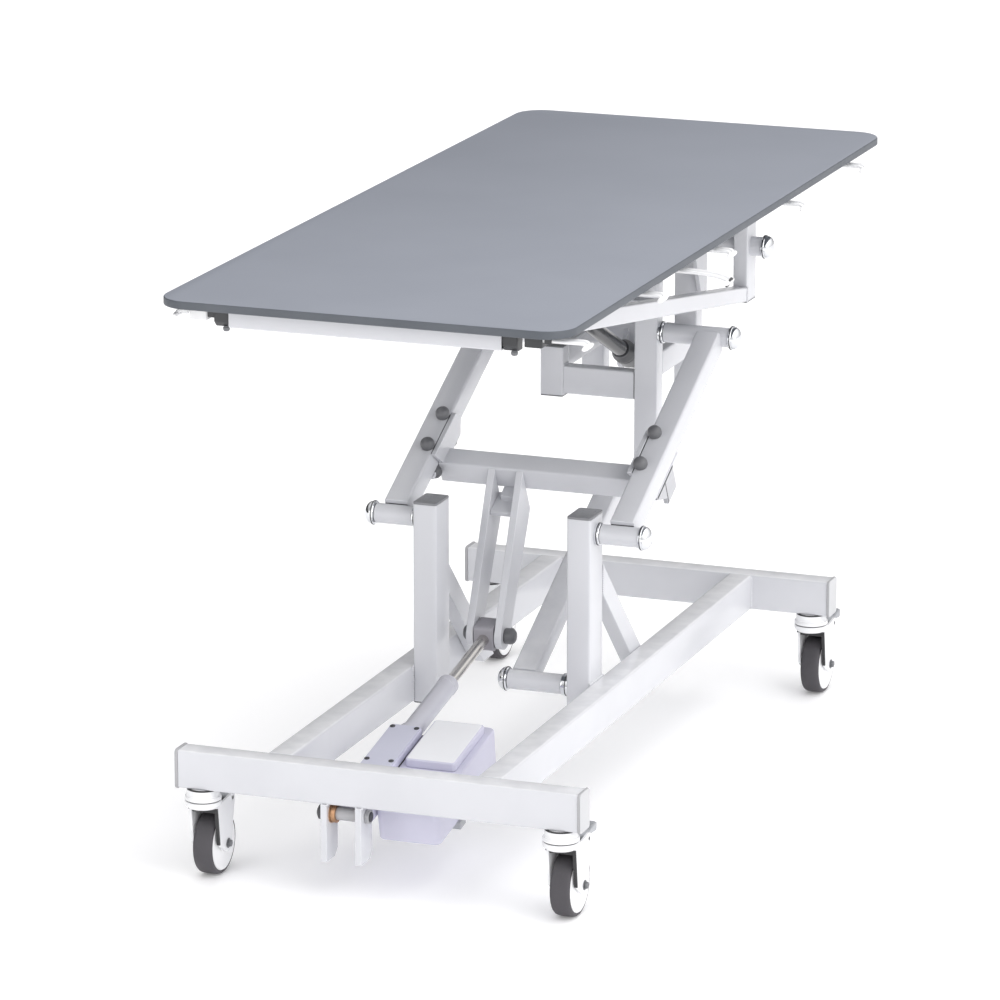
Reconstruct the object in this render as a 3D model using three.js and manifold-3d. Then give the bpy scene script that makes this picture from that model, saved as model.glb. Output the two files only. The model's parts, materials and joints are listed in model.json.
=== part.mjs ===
// Height-adjustable, tilting exam table on castors.
// Millimetres, +Z up, X across, +Y towards the rear, origin on the floor under the middle of the whole.
// The pieces are drawn about the table's middle plane, then shifted together at the end.
import * as THREE from "three";
import { mergeVertices } from "three/addons/utils/BufferGeometryUtils.js";
import Module from "manifold-3d";

// Fits shared by all pieces
const GAP = 0.3;
const RUNNING = 0.4;
const END_PLAY = 0.5;
const OVERRUN = 1;
const ROUND_STEPS = 16;
const WHEEL_STEPS = 20;
const SMALL_PIN_STEPS = 12;
const SMALL_ROUND_STEPS = 8;
const ARC_STEPS = 5;
const SMALL_ARC_STEPS = 4;
const LID_ARC_STEPS = 2;
const WELD = 1e-3;

// Square and rectangular tube stock
const WALL = 3;
const EDGE_RADIUS = 4;
const LEAST_EDGE_RADIUS = 0.5;
const THIN_WALL = 2.5;
const THIN_EDGE_RADIUS = 3;

// Castors
const CASTOR_HEIGHT = 150;
const CASTOR_SPACING = 580;
const CASTOR_TRAIL = 40;
const WHEEL_RADIUS = 50;
const WHEEL_WIDTH = 32;
const TYRE_THICKNESS = 13;
const TYRE_SHOULDER = 3;
const TYRE_SHOULDER_EASE = 1;
const TYRE_CROWN = 6;
const RIM_STEP = 4;
const HUB_RADIUS = 15;
const HUB_WIDTH = 38;
const WEB_WIDTH = 12;
const AXLE_RADIUS = 6;
const AXLE_HEAD_RADIUS = 10;
const AXLE_HEAD_LENGTH = 6;
const AXLE_HEAD_LET_IN = 1;
const FORK_PLATE = 4;
const FORK_EAR_RADIUS = 14;
const FORK_LEG_FRONT = 2;
const FORK_LEG_FOOT = 6;
const FORK_FOOT_ABOVE_AXLE = 6;
const SWIVEL_NECK_RADIUS = 27;
const SWIVEL_NECK_LENGTH = 12;
const SWIVEL_RING_RADIUS = 31;
const SWIVEL_RING_LENGTH = 15;
const SWIVEL_RING_EASE = 2;
const PEDAL_PIVOT_BACK = 60;
const PEDAL_PIVOT_HEIGHT = 117;
const PEDAL_PIN_RADIUS = 4;
const PEDAL_LUG = 5;
const PEDAL_LENGTH = 46;
const PEDAL_RISE = 9;
const PEDAL_BEND = 0.6;
const PEDAL_THICKNESS = 6;

// Base frame
const BASE_FRONT = -740;
const BASE_LENGTH = 1291;
const BEAM_LENGTH = 646;
const BEAM_HEIGHT = 60;
const BEAM_DEPTH = 40;
const STEM_HOLE_RADIUS = 8;
const RAIL_SPACING = 340;
const RAIL_WIDTH = 40;
const POST_WIDTH = 40;
const POST_DEPTH = 60;
const POST_ABOVE_PIVOT = 28;
const PLUG_FLANGE = 4;
const PLUG_DEPTH = 14;
const STRUT_WIDTH = 25;
const STRUT_RUN = 245;
const STRUT_RISE = 245;
const STRUT_BAND = 50;

// Pivot pins, sleeves and their domed caps
const PIN_RADIUS = 11;
const SLEEVE_RADIUS = 16;
const COLLAR_RADIUS = 18;
const COLLAR_LENGTH = 8;
const LINK_COLLAR_LENGTH = 15;
const CAP_RADIUS = 19.5;
const CAP_LENGTH = 18.5;
const CAP_RIM = 6;
const CAP_SHOULDER = 0.75;
const CAP_SHOULDER_RISE = 0.65;

// Lifting arms and parallel link
const ARM_PIVOT_Y = -165;
const ARM_PIVOT_HEIGHT = 450;
const ARM_LENGTH = 498.65;
const ARM_ANGLE_DEG = 26.82;
const ARM_SECTION = 40;
const ARM_SLEEVE_LENGTH = 64;
const LINK_DROP = 253;
const LINK_WIDTH = 40;
const LINK_HEIGHT = 30;
const LINK_OFFSET = 27;
const LINK_SLEEVE_OVERHANG = 3.5;
const VENT_RADIUS = 3;

// Cross beam under the arms
const CROSS_BEAM_ALONG = 167;
const CROSS_BEAM_BELOW = 34;
const CROSS_BEAM_SECTION = 40;
const BRACKET_PLATE = 8;
const BRACKET_FLANGE = 6;
const BRACKET_REACH = 46;
const BRACKET_LEAD = 28;
const BRACKET_SIDE_FROM = 159;
const BRACKET_SIDE_LENGTH = 44;
const BRACKET_SIDE_BELOW = 68;
const BRACKET_GUSSET_BELOW = 56;

// Lift lever and its pin
const LEVER_OFFSET = -55;
const LEVER_GAP = 36;
const LEVER_PLATE = 12;
const LEVER_DEPTH = 61;
const LEVER_END_ALONG = -38.7;
const LEVER_END_BELOW = 205.2;
const LEVER_SLOPE_DEG = 38.9;
const LEVER_SPACER_FROM = 97;
const LEVER_SPACER_BELOW = 64;
const LEVER_SPACER_THICKNESS = 8;
const LEVER_PIN_RADIUS = 6;
const LEVER_CAP_RADIUS = 13;
const LEVER_CAP_LENGTH = 10;
const LEVER_CAP_FACE = 0.7;

// Lift actuator
const LIFT_TAIL_BELOW_BEAM = 18;
const CLEVIS_GAP = 46;
const CLEVIS_PLATE = 10;
const CLEVIS_DEPTH = 46;
const CLEVIS_LENGTH = 90;
const TAIL_BOLT_RADIUS = 8;
const TAIL_HEAD_RADIUS = 12;
const TAIL_HEAD_LENGTH = 8;
const TAIL_EYE_RADIUS = 14;
const TAIL_NECK_HALF = 9;
const TAIL_EYE_WIDTH = 45;
const GEARBOX_START = 30;
const GEARBOX_LENGTH = 232;
const GEARBOX_WIDTH = 52;
const GEARBOX_ABOVE = 20;
const GEARBOX_BELOW = 30;
const GEARBOX_EDGE = 6;
const RAM_TUBE_RADIUS = 16;
const RAM_TUBE_LENGTH = 183;
const RAM_RADIUS = 9;
const RAM_INSIDE = 135;
const RAM_TRAVEL_INSIDE = 95;
const ROD_SHORT_OF_EYE = 2;
const ROD_EYE_CLEARANCE = 6;
const ROD_EYE_HALF = 21;
const ROD_EYE_WIDTH = 33;
const CONTROL_WIDTH = 103;
const CONTROL_START = 48;
const CONTROL_LENGTH = 262;
const CONTROL_ABOVE = 5;
const CONTROL_BELOW = 66;
const CONTROL_DRAFT = 7;
const CONTROL_EDGE = 12;
const LID_WIDTH = 82;
const LID_START = 155;
const LID_LENGTH = 135;
const LID_HEIGHT = 15;
const LID_EDGE = 8;
const LID_CHAMFER = 3;

// Upper carriage that the arms and the link hold upright
const CARRIAGE_POST_SPACING = 164;
const CARRIAGE_POST_WIDTH = 40;
const CARRIAGE_POST_DEPTH = 30;
const CARRIAGE_TOP = 85;
const SHORT_POST_BELOW = 120;
const LONG_POST_BELOW_LINK = 25;
const REAR_POST_SETBACK = 205;
const REAR_POST_BELOW = 145;
const SIDE_BAR_HEIGHT = 40;
const SIDE_BAR_BELOW = 55;
const FRONT_TIE_HEIGHT = 47;
const FRONT_TIE_DEPTH = 26;
const FRONT_TIE_BELOW = 91;
const REAR_TIE_HEIGHT = 40;
const REAR_TIE_DEPTH = 28;
const REAR_TIE_BELOW = 55;
const PIN_EAR_PLATE = 8;
const PIN_EAR_TAIL = 40;
const PIN_EAR_ROOT = 20;
const HINGE_BACK = 172;
const HINGE_UP = 117;
const HINGE_PLATE = 8;
const HINGE_EAR_RADIUS = 24;
const HINGE_PLATE_TAIL = 60;

// Table frame and top
const TOP_LENGTH = 1600;
const TOP_WIDTH = 650;
const TOP_THICKNESS = 13;
const TOP_CORNER_RADIUS = 48;
const TOP_EDGE = 1.5;
const HINGE_TO_TOP = 121;
const HINGE_FROM_MIDDLE = 452;
const LUG_WIDTH = 25;
const LUG_DEPTH = 48;
const LUG_BELOW_HINGE = 92;
const TABLE_BAR_HEIGHT = 25;
const TABLE_BAR_DROP = 183;
const FRONT_TUBE_SECTION = 28;
const FRONT_TUBE_LENGTH = 430;
const FRONT_TUBE_FROM_EDGE = 25;
const CROSS_TUBE_SECTION = 25;
const MIDDLE_TUBE_FORWARD = 40.5;
const STOP_BLOCK_WIDTH = 24;
const STOP_BLOCK_HEIGHT = 28;
const STOP_BLOCK_DEPTH = 24;
const STOP_BLOCK_STEP = 8;

// Strap hooks along both long edges: pulled out on the right, pushed in under the top on the left
const HOOKS_FROM_FRONT = [38, 376, 709];
const HOOKS_FROM_REAR = [514, 182];
const HOOK_REACH = 22;
const HOOK_PUSHED_IN = 22;
const LONG_HOOK_FROM_FRONT = 548;
const LONG_HOOK_REACH = 70;
const HOOK_WIRE_RADIUS = 3;
const HOOK_WIRE_STEPS = 3;
const HOOK_PATH_STEPS = 3;
const HOOK_BEND_LENGTH = 11;
const HOOK_BEND_FALL = 0.35;
const HOOK_PRONG_SPACING = 14;
const HOOK_ROOT = 61;
const HOOK_BELOW = 8;
const HOOK_TIP_DROP = 12;
const HOOK_BLOCK_LENGTH = 28;
const HOOK_BLOCK_WIDTH = 26;
const HOOK_BLOCK_HEIGHT = 14;

// Tilt actuator
const TILT_TAIL_FORWARD = 23;
const TILT_TAIL_DROP = 37;
const TILT_HEAD_FROM_MIDDLE = 60;
const TILT_HEAD_BELOW_TOP = 144;
const TILT_EAR_GAP = 36;
const TILT_EAR_PLATE = 8;
const TILT_PIN_RADIUS = 6;
const TILT_EAR_RADIUS = 15;
const TILT_BODY_RADIUS = 24;
const TILT_BODY_START = 24;
const TILT_BODY_LENGTH = 50;
const TILT_TAIL_TAPER = 8;
const TILT_NOSE_TAPER = 10;
const TILT_TUBE_RADIUS = 13;
const TILT_TUBE_LENGTH = 222;
const TILT_EYE_WIDTH = 30;
const TILT_EYE_RADIUS = 14;
const TILT_EYE_CLEARANCE = 2.4;
const TILT_ROD_INSIDE = 100;

const wasm = await Module();
wasm.setup();

// Places that follow from the sizes above, on the middle plane as [y, z]
const ARM_ANGLE = THREE.MathUtils.degToRad(ARM_ANGLE_DEG);
const armPivot = [ARM_PIVOT_Y, ARM_PIVOT_HEIGHT];
const linkPivot = [ARM_PIVOT_Y, ARM_PIVOT_HEIGHT - LINK_DROP];
const carriagePivot = [
  ARM_PIVOT_Y + ARM_LENGTH * Math.cos(ARM_ANGLE),
  ARM_PIVOT_HEIGHT + ARM_LENGTH * Math.sin(ARM_ANGLE),
];
const hingePivot = [carriagePivot[0] + HINGE_BACK, carriagePivot[1] + HINGE_UP];
const tableOrigin = [hingePivot[0] - HINGE_FROM_MIDDLE, hingePivot[1] + HINGE_TO_TOP];
const postInner = RAIL_SPACING / 2 - RAIL_WIDTH / 2 - GAP - POST_WIDTH;
const postOuter = postInner + POST_WIDTH;
const armSleeveStart = postOuter + GAP + COLLAR_LENGTH + END_PLAY;
const armSleeveEnd = armSleeveStart + ARM_SLEEVE_LENGTH;
const armCentre = (armSleeveStart + armSleeveEnd) / 2;
const armInner = armCentre - ARM_SECTION / 2;
const carriageOuter = CARRIAGE_POST_SPACING / 2 + CARRIAGE_POST_WIDTH / 2;
const carriageInner = carriageOuter - CARRIAGE_POST_WIDTH;
const beamUnder = CASTOR_HEIGHT;
const frontBeamY = BASE_FRONT + BEAM_DEPTH / 2;
const rearBeamY = BASE_FRONT + BASE_LENGTH - BEAM_DEPTH / 2;
const railLength = BASE_LENGTH - 2 * BEAM_DEPTH - 2 * GAP;
const railMiddleY = BASE_FRONT + BASE_LENGTH / 2;

// Closed solids: weld a geometry's corners, join solids and cut solids out of one another.
function toSolid(geometry) {
  const loose = geometry.index ? geometry.toNonIndexed() : geometry;
  const bare = new THREE.BufferGeometry().setAttribute("position", loose.getAttribute("position"));
  const welded = mergeVertices(bare, WELD);
  const corners = welded.index.array;
  const triangles = [];
  for (let i = 0; i < corners.length; i += 3) {
    const [a, b, c] = corners.slice(i, i + 3);
    if (a !== b && b !== c && c !== a) triangles.push(a, b, c);
  }
  const mesh = (order) =>
    new wasm.Manifold(
      new wasm.Mesh({
        numProp: 3,
        vertProperties: new Float32Array(welded.attributes.position.array),
        triVerts: new Uint32Array(order),
      }),
    );
  const solid = mesh(triangles);
  return solid.volume() < 0 ? mesh(triangles.reverse()) : solid;
}

function toGeometry(solid) {
  const mesh = solid.getMesh();
  const geometry = new THREE.BufferGeometry();
  geometry.setAttribute("position", new THREE.BufferAttribute(new Float32Array(mesh.vertProperties), 3));
  geometry.setIndex(new THREE.BufferAttribute(new Uint32Array(mesh.triVerts), 1));
  return geometry;
}

function join(first, ...others) {
  return toGeometry(others.reduce((sum, next) => sum.add(toSolid(next)), toSolid(first)));
}

function cut(body, ...tools) {
  return toGeometry(tools.reduce((rest, tool) => rest.subtract(toSolid(tool)), toSolid(body)));
}

// Outlines
function roundedRectangle(width, height, radius) {
  const [w, h] = [width / 2, height / 2];
  const outline = new THREE.Shape();
  outline.moveTo(-w + radius, -h);
  outline.lineTo(w - radius, -h);
  outline.absarc(w - radius, -h + radius, radius, -Math.PI / 2, 0, false);
  outline.lineTo(w, h - radius);
  outline.absarc(w - radius, h - radius, radius, 0, Math.PI / 2, false);
  outline.lineTo(-w + radius, h);
  outline.absarc(-w + radius, h - radius, radius, Math.PI / 2, Math.PI, false);
  outline.lineTo(-w, -h + radius);
  outline.absarc(-w + radius, -h + radius, radius, Math.PI, 1.5 * Math.PI, false);
  return outline;
}

function tubeSection(width, height, wall, radius) {
  const section = roundedRectangle(width, height, radius);
  const innerRadius = Math.max(radius - wall, LEAST_EDGE_RADIUS);
  section.holes.push(roundedRectangle(width - 2 * wall, height - 2 * wall, innerRadius));
  return section;
}

function polygon(points) {
  return new THREE.Shape(points.map(([y, z]) => new THREE.Vector2(y, z)));
}

// Extrusions, centred on their length
function extrude(outline, length, steps = 1) {
  const geometry = new THREE.ExtrudeGeometry(outline, {
    depth: length,
    bevelEnabled: false,
    curveSegments: steps,
  });
  return geometry.translate(0, 0, -length / 2);
}

const ALONG_X = new THREE.Matrix4().makeBasis(
  new THREE.Vector3(0, 1, 0),
  new THREE.Vector3(0, 0, 1),
  new THREE.Vector3(1, 0, 0),
);
const ALONG_Y = new THREE.Matrix4().makeBasis(
  new THREE.Vector3(1, 0, 0),
  new THREE.Vector3(0, 0, 1),
  new THREE.Vector3(0, -1, 0),
);

// A tube or plate whose outline is drawn on Y and Z and runs along X
function alongX(outline, length, middle, steps) {
  return extrude(outline, length, steps).applyMatrix4(ALONG_X).translate(middle, 0, 0);
}

// A tube whose outline is drawn on X and Z and runs along Y
function alongY(outline, length, middle, steps) {
  return extrude(outline, length, steps).applyMatrix4(ALONG_Y).translate(0, middle, 0);
}

function block(x, y, z) {
  const size = [x, y, z].map(([low, high]) => high - low);
  const middle = [x, y, z].map(([low, high]) => (low + high) / 2);
  return new THREE.BoxGeometry(...size).translate(...middle);
}

// Solids of revolution: a profile of [radius, place along the axis]
function revolve(profile, steps = ROUND_STEPS) {
  return new THREE.LatheGeometry(
    profile.map(([radius, along]) => new THREE.Vector2(radius, along)),
    steps,
  );
}

function revolveX(profile, steps) {
  return revolve(profile, steps).rotateZ(-Math.PI / 2);
}

function revolveY(profile, steps) {
  return revolve(profile, steps);
}

function revolveZ(profile, steps) {
  return revolve(profile, steps).rotateX(Math.PI / 2);
}

function rod(radius, from, to) {
  return [
    [0, from],
    [radius, from],
    [radius, to],
    [0, to],
  ];
}

function ring(bore, radius, from, to) {
  return [
    [bore, from],
    [radius, from],
    [radius, to],
    [bore, to],
    [bore, from],
  ];
}

// Materials
function finish(color, roughness, metalness) {
  return new THREE.MeshStandardMaterial({ color, roughness, metalness });
}
const whitePaint = finish(0xf2f2f4, 0.35, 0);
const chrome = finish(0xcfd2d6, 0.12, 1);
const steel = finish(0x9a9da2, 0.35, 1);
const laminate = finish(0x9a9fa8, 0.5, 0);
const darkPlastic = finish(0x4a4c50, 0.5, 0);
const blackPlastic = finish(0x1c1d1f, 0.45, 0);
const lilacPlastic = finish(0xdcdbe6, 0.45, 0);
const greyPlastic = finish(0xa9acb2, 0.5, 0);
const tyreRubber = finish(0x2c2b2f, 0.7, 0);

const table = new THREE.Group();

function place(y, z, turn = 0) {
  const group = new THREE.Group();
  group.position.set(0, y, z);
  group.rotation.x = turn;
  table.add(group);
  return group;
}

function piece(group, name, geometry, material) {
  const mesh = new THREE.Mesh(toGeometry(toSolid(geometry)), material);
  mesh.name = name;
  group.add(mesh);
  return mesh;
}

const SIDES = [
  ["left", -1],
  ["right", 1],
];

// Base beams: rectangular tube closed by end plates, with a hole for each castor's stem.
function baseBeam() {
  const shell = extrude(roundedRectangle(BEAM_DEPTH, BEAM_HEIGHT, EDGE_RADIUS), BEAM_LENGTH)
    .applyMatrix4(ALONG_X);
  const hollow = extrude(
    roundedRectangle(BEAM_DEPTH - 2 * WALL, BEAM_HEIGHT - 2 * WALL, EDGE_RADIUS - WALL),
    BEAM_LENGTH - 2 * WALL,
  ).applyMatrix4(ALONG_X);
  const stemHoles = SIDES.map(([, side]) =>
    revolveZ(rod(STEM_HOLE_RADIUS, -BEAM_HEIGHT, 0)).translate((side * CASTOR_SPACING) / 2, 0, 0),
  );
  return cut(shell, hollow, ...stemHoles);
}

// Two plates welded under the front beam carry the lift actuator's tail.
function clevisPlate(side) {
  const middle = LEVER_OFFSET + (side * (CLEVIS_GAP + CLEVIS_PLATE)) / 2;
  const half = CLEVIS_DEPTH / 2;
  const chamfer = half / 2;
  const under = -BEAM_HEIGHT / 2;
  const plate = alongX(
    polygon([
      [-half, under + WALL / 2],
      [-half, under - CLEVIS_LENGTH],
      [half - chamfer, under - CLEVIS_LENGTH],
      [half, under - CLEVIS_LENGTH + chamfer],
      [half, under + WALL / 2],
    ]),
    CLEVIS_PLATE,
    middle,
  );
  const hole = revolveX(rod(TAIL_BOLT_RADIUS + RUNNING, -CLEVIS_PLATE, CLEVIS_PLATE));
  return cut(plate, hole.translate(middle, 0, under - LIFT_TAIL_BELOW_BEAM));
}

const base = place(0, 0);
const beamMiddle = beamUnder + BEAM_HEIGHT / 2;
piece(base, "base_front_beam", join(baseBeam(), clevisPlate(-1), clevisPlate(1)), whitePaint)
  .position.set(0, frontBeamY, beamMiddle);
piece(base, "base_rear_beam", baseBeam(), whitePaint).position.set(0, rearBeamY, beamMiddle);

// Side rails, posts on their inner faces, and the struts that brace the posts
function strut() {
  const top = STRUT_RISE;
  const start = POST_DEPTH / 2 + GAP;
  return alongX(
    polygon([
      [start, top],
      [start, top - STRUT_BAND],
      [start + STRUT_RUN - STRUT_BAND, 0],
      [start + STRUT_RUN, 0],
    ]),
    STRUT_WIDTH,
    0,
  );
}

const postTop = ARM_PIVOT_HEIGHT + POST_ABOVE_PIVOT;
const postLength = postTop - beamUnder;
for (const [name, side] of SIDES) {
  const rail = alongY(tubeSection(RAIL_WIDTH, BEAM_HEIGHT, WALL, EDGE_RADIUS), railLength, railMiddleY);
  piece(base, "base_rail_" + name, rail, whitePaint)
    .position.set((side * RAIL_SPACING) / 2, 0, beamMiddle);
  const postX = (side * (postInner + postOuter)) / 2;
  const post = extrude(tubeSection(POST_WIDTH, POST_DEPTH, WALL, EDGE_RADIUS), postLength);
  piece(base, "base_post_" + name, post, whitePaint)
    .position.set(postX, ARM_PIVOT_Y, beamUnder + postLength / 2);
  const plug = join(
    extrude(roundedRectangle(POST_WIDTH, POST_DEPTH, EDGE_RADIUS), PLUG_FLANGE)
      .translate(0, 0, GAP + PLUG_FLANGE / 2),
    extrude(
      roundedRectangle(POST_WIDTH - 2 * WALL - 2 * GAP, POST_DEPTH - 2 * WALL - 2 * GAP, EDGE_RADIUS - WALL),
      PLUG_DEPTH,
    ).translate(0, 0, GAP + PLUG_FLANGE / 2 - PLUG_DEPTH / 2),
  );
  piece(base, "post_plug_" + name, plug, darkPlastic).position.set(postX, ARM_PIVOT_Y, postTop);
  piece(base, "base_strut_" + name, strut(), whitePaint)
    .position.set(side * (postOuter - STRUT_WIDTH / 2), ARM_PIVOT_Y, beamUnder);
}

// Pivot pin turned from one bar: collar against its post, bearing length, domed cap.
function pivotPin(collar, sleeve) {
  const capStart = collar + sleeve + 2 * END_PLAY;
  return revolveX([
    [0, 0],
    [COLLAR_RADIUS, 0],
    [COLLAR_RADIUS, collar],
    [PIN_RADIUS, collar],
    [PIN_RADIUS, capStart],
    [CAP_RADIUS, capStart],
    [CAP_RADIUS, capStart + CAP_RIM],
    [CAP_RADIUS * CAP_SHOULDER, capStart + CAP_RIM + (CAP_LENGTH - CAP_RIM) * CAP_SHOULDER_RISE],
    [0, capStart + CAP_LENGTH],
  ]);
}

// A pin that starts at a face and points along -X or +X
function pinPiece(group, name, collar, sleeve, face, side, y, z) {
  const mesh = piece(group, name, pivotPin(collar, sleeve), chrome);
  mesh.position.set(face + side * GAP, y, z);
  if (side < 0) mesh.rotation.z = Math.PI;
}

for (const [name, side] of SIDES)
  pinPiece(base, "arm_pin_" + name, COLLAR_LENGTH, ARM_SLEEVE_LENGTH, side * postOuter, side, ...armPivot);

const linkSleeveInner = LINK_OFFSET - LINK_WIDTH / 2 - LINK_SLEEVE_OVERHANG;
const lowerLinkSleeve = postInner - GAP - LINK_COLLAR_LENGTH - END_PLAY - linkSleeveInner;
const upperLinkSleeve = carriageInner - GAP - COLLAR_LENGTH - END_PLAY - linkSleeveInner;
pinPiece(base, "link_pin_lower", LINK_COLLAR_LENGTH, lowerLinkSleeve, postInner, -1, ...linkPivot);

// Bolt through the clevis plates and the lift actuator's tail
const liftTail = [frontBeamY, beamUnder - LIFT_TAIL_BELOW_BEAM];
const tailBoltHalf = CLEVIS_GAP / 2 + CLEVIS_PLATE + GAP;
const tailBolt = revolveX(
  [
    [0, -tailBoltHalf - TAIL_HEAD_LENGTH],
    [TAIL_HEAD_RADIUS, -tailBoltHalf - TAIL_HEAD_LENGTH],
    [TAIL_HEAD_RADIUS, -tailBoltHalf],
    [TAIL_BOLT_RADIUS, -tailBoltHalf],
    [TAIL_BOLT_RADIUS, tailBoltHalf],
    [TAIL_HEAD_RADIUS, tailBoltHalf],
    [TAIL_HEAD_RADIUS, tailBoltHalf + TAIL_HEAD_LENGTH],
    [0, tailBoltHalf + TAIL_HEAD_LENGTH],
  ],
);
piece(base, "lift_tail_bolt", tailBolt, steel).position.set(LEVER_OFFSET, ...liftTail);

// Castor: swivel ring, fork with its axle, wheel and brake pedal, drawn about the swivel axis
const forkInner = HUB_WIDTH / 2 + END_PLAY;
const forkOuter = forkInner + FORK_PLATE;
const crownTop = CASTOR_HEIGHT - GAP - SWIVEL_NECK_LENGTH - SWIVEL_RING_LENGTH;
const crownUnder = crownTop - FORK_PLATE;

function forkLeg(side) {
  const outline = new THREE.Shape();
  const lug = PEDAL_PIN_RADIUS + PEDAL_LUG;
  outline.moveTo(-FORK_LEG_FRONT, crownTop - GAP);
  outline.lineTo(FORK_LEG_FOOT, WHEEL_RADIUS + FORK_FOOT_ABOVE_AXLE);
  outline.absarc(CASTOR_TRAIL, WHEEL_RADIUS, FORK_EAR_RADIUS, (4 / 3) * Math.PI, 2 * Math.PI, false);
  outline.lineTo(PEDAL_PIVOT_BACK + lug, PEDAL_PIVOT_HEIGHT);
  outline.absarc(PEDAL_PIVOT_BACK, PEDAL_PIVOT_HEIGHT, lug, 0, Math.PI / 2, false);
  outline.lineTo(SWIVEL_RING_RADIUS, crownTop - GAP);
  const hole = new THREE.Path();
  hole.absarc(PEDAL_PIVOT_BACK, PEDAL_PIVOT_HEIGHT, PEDAL_PIN_RADIUS + RUNNING, 0, 2 * Math.PI, true);
  outline.holes.push(hole);
  return alongX(outline, FORK_PLATE, side * (forkInner + FORK_PLATE / 2), SMALL_ARC_STEPS);
}

function castorFork() {
  const neckTop = CASTOR_HEIGHT - GAP;
  const ringTop = neckTop - SWIVEL_NECK_LENGTH;
  const swivel = revolveZ([
    [0, crownUnder],
    [SWIVEL_RING_RADIUS - FORK_PLATE / 2, crownUnder],
    [SWIVEL_RING_RADIUS, crownTop],
    [SWIVEL_RING_RADIUS, ringTop - SWIVEL_RING_EASE],
    [SWIVEL_RING_RADIUS - SWIVEL_RING_EASE, ringTop],
    [SWIVEL_NECK_RADIUS, ringTop],
    [SWIVEL_NECK_RADIUS, neckTop],
    [0, neckTop],
  ]);
  const axleEnd = forkOuter + AXLE_HEAD_LENGTH;
  const headFace = forkOuter - AXLE_HEAD_LET_IN;
  const axle = revolveX(
    [
      [0, -axleEnd],
      [AXLE_HEAD_RADIUS, -axleEnd],
      [AXLE_HEAD_RADIUS, -headFace],
      [AXLE_RADIUS, -headFace],
      [AXLE_RADIUS, headFace],
      [AXLE_HEAD_RADIUS, headFace],
      [AXLE_HEAD_RADIUS, axleEnd],
      [0, axleEnd],
    ],
    SMALL_ROUND_STEPS,
  ).translate(0, CASTOR_TRAIL, WHEEL_RADIUS);
  return join(swivel, forkLeg(-1), forkLeg(1), axle);
}

function castorWheel() {
  const [half, web] = [WHEEL_WIDTH / 2, WEB_WIDTH / 2];
  const rim = WHEEL_RADIUS - TYRE_THICKNESS;
  const shoulder = WHEEL_RADIUS - TYRE_SHOULDER;
  const side = [
    [AXLE_RADIUS + RUNNING, HUB_WIDTH / 2],
    [HUB_RADIUS, HUB_WIDTH / 2],
    [HUB_RADIUS, web],
    [rim - RIM_STEP, web],
    [rim, half],
    [shoulder, half - TYRE_SHOULDER_EASE],
    [WHEEL_RADIUS, half - TYRE_CROWN],
  ];
  const other = side.map(([radius, along]) => [radius, -along]).reverse();
  return revolveX([...side, ...other, side[0]], WHEEL_STEPS);
}

function castorPedal() {
  const width = 2 * (forkInner - END_PLAY);
  const [back, up] = [PEDAL_LENGTH, PEDAL_RISE];
  const [bendBack, bendUp] = [PEDAL_BEND * back, PEDAL_BEND * up];
  const half = PEDAL_THICKNESS / 2;
  const blade = alongX(
    polygon([
      [-PEDAL_PIN_RADIUS, half],
      [-PEDAL_PIN_RADIUS, -half],
      [bendBack, bendUp - half],
      [back, up - half],
      [back + half, up],
      [back, up + half],
      [bendBack, bendUp + half],
    ]),
    width,
    0,
  );
  return join(blade, revolveX(rod(PEDAL_PIN_RADIUS, -forkOuter, forkOuter), SMALL_PIN_STEPS));
}

for (const [end, y] of [
  ["front", frontBeamY],
  ["rear", rearBeamY],
])
  for (const [name, side] of SIDES) {
    const castor = place(y, 0);
    castor.position.x = (side * CASTOR_SPACING) / 2;
    piece(castor, `castor_fork_${end}_${name}`, castorFork(), whitePaint);
    piece(castor, `castor_wheel_${end}_${name}`, castorWheel(), tyreRubber)
      .position.set(0, CASTOR_TRAIL, WHEEL_RADIUS);
    piece(castor, `castor_pedal_${end}_${name}`, castorPedal(), greyPlastic)
      .position.set(0, PEDAL_PIVOT_BACK, PEDAL_PIVOT_HEIGHT);
  }

// Lifting arms: square tube coped onto a sleeve at each end. Y runs along the arm, Z square to it.
const arms = place(...armPivot, ARM_ANGLE);
const upperSleeveStart = carriageOuter + GAP + COLLAR_LENGTH + END_PLAY;

function swingArm(length, width, height, centre, lowerSleeve, upperSleeve) {
  const cope = SLEEVE_RADIUS / 2;
  const tube = alongY(tubeSection(width, height, WALL, EDGE_RADIUS), length - 2 * cope, length / 2)
    .translate(centre, 0, 0);
  const sleeves = [
    revolveX(rod(SLEEVE_RADIUS, ...lowerSleeve)),
    revolveX(rod(SLEEVE_RADIUS, ...upperSleeve)).translate(0, length, 0),
  ];
  const bores = [
    revolveX(rod(PIN_RADIUS + RUNNING, lowerSleeve[0] - OVERRUN, lowerSleeve[1] + OVERRUN)),
    revolveX(rod(PIN_RADIUS + RUNNING, upperSleeve[0] - OVERRUN, upperSleeve[1] + OVERRUN))
      .translate(0, length, 0),
  ];
  const vent = revolveZ(rod(VENT_RADIUS, -height, 0), SMALL_ROUND_STEPS).translate(centre, length / 2, 0);
  return cut(join(tube, ...sleeves), ...bores, vent);
}

function mirrored(geometry, side) {
  return side < 0 ? toGeometry(toSolid(geometry.scale(-1, 1, 1))) : geometry;
}

for (const [name, side] of SIDES) {
  const arm = swingArm(
    ARM_LENGTH,
    ARM_SECTION,
    ARM_SECTION,
    armCentre,
    [armSleeveStart, armSleeveEnd],
    [upperSleeveStart, armSleeveEnd],
  );
  piece(arms, "lift_arm_" + name, mirrored(arm, side), whitePaint);
}

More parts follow.
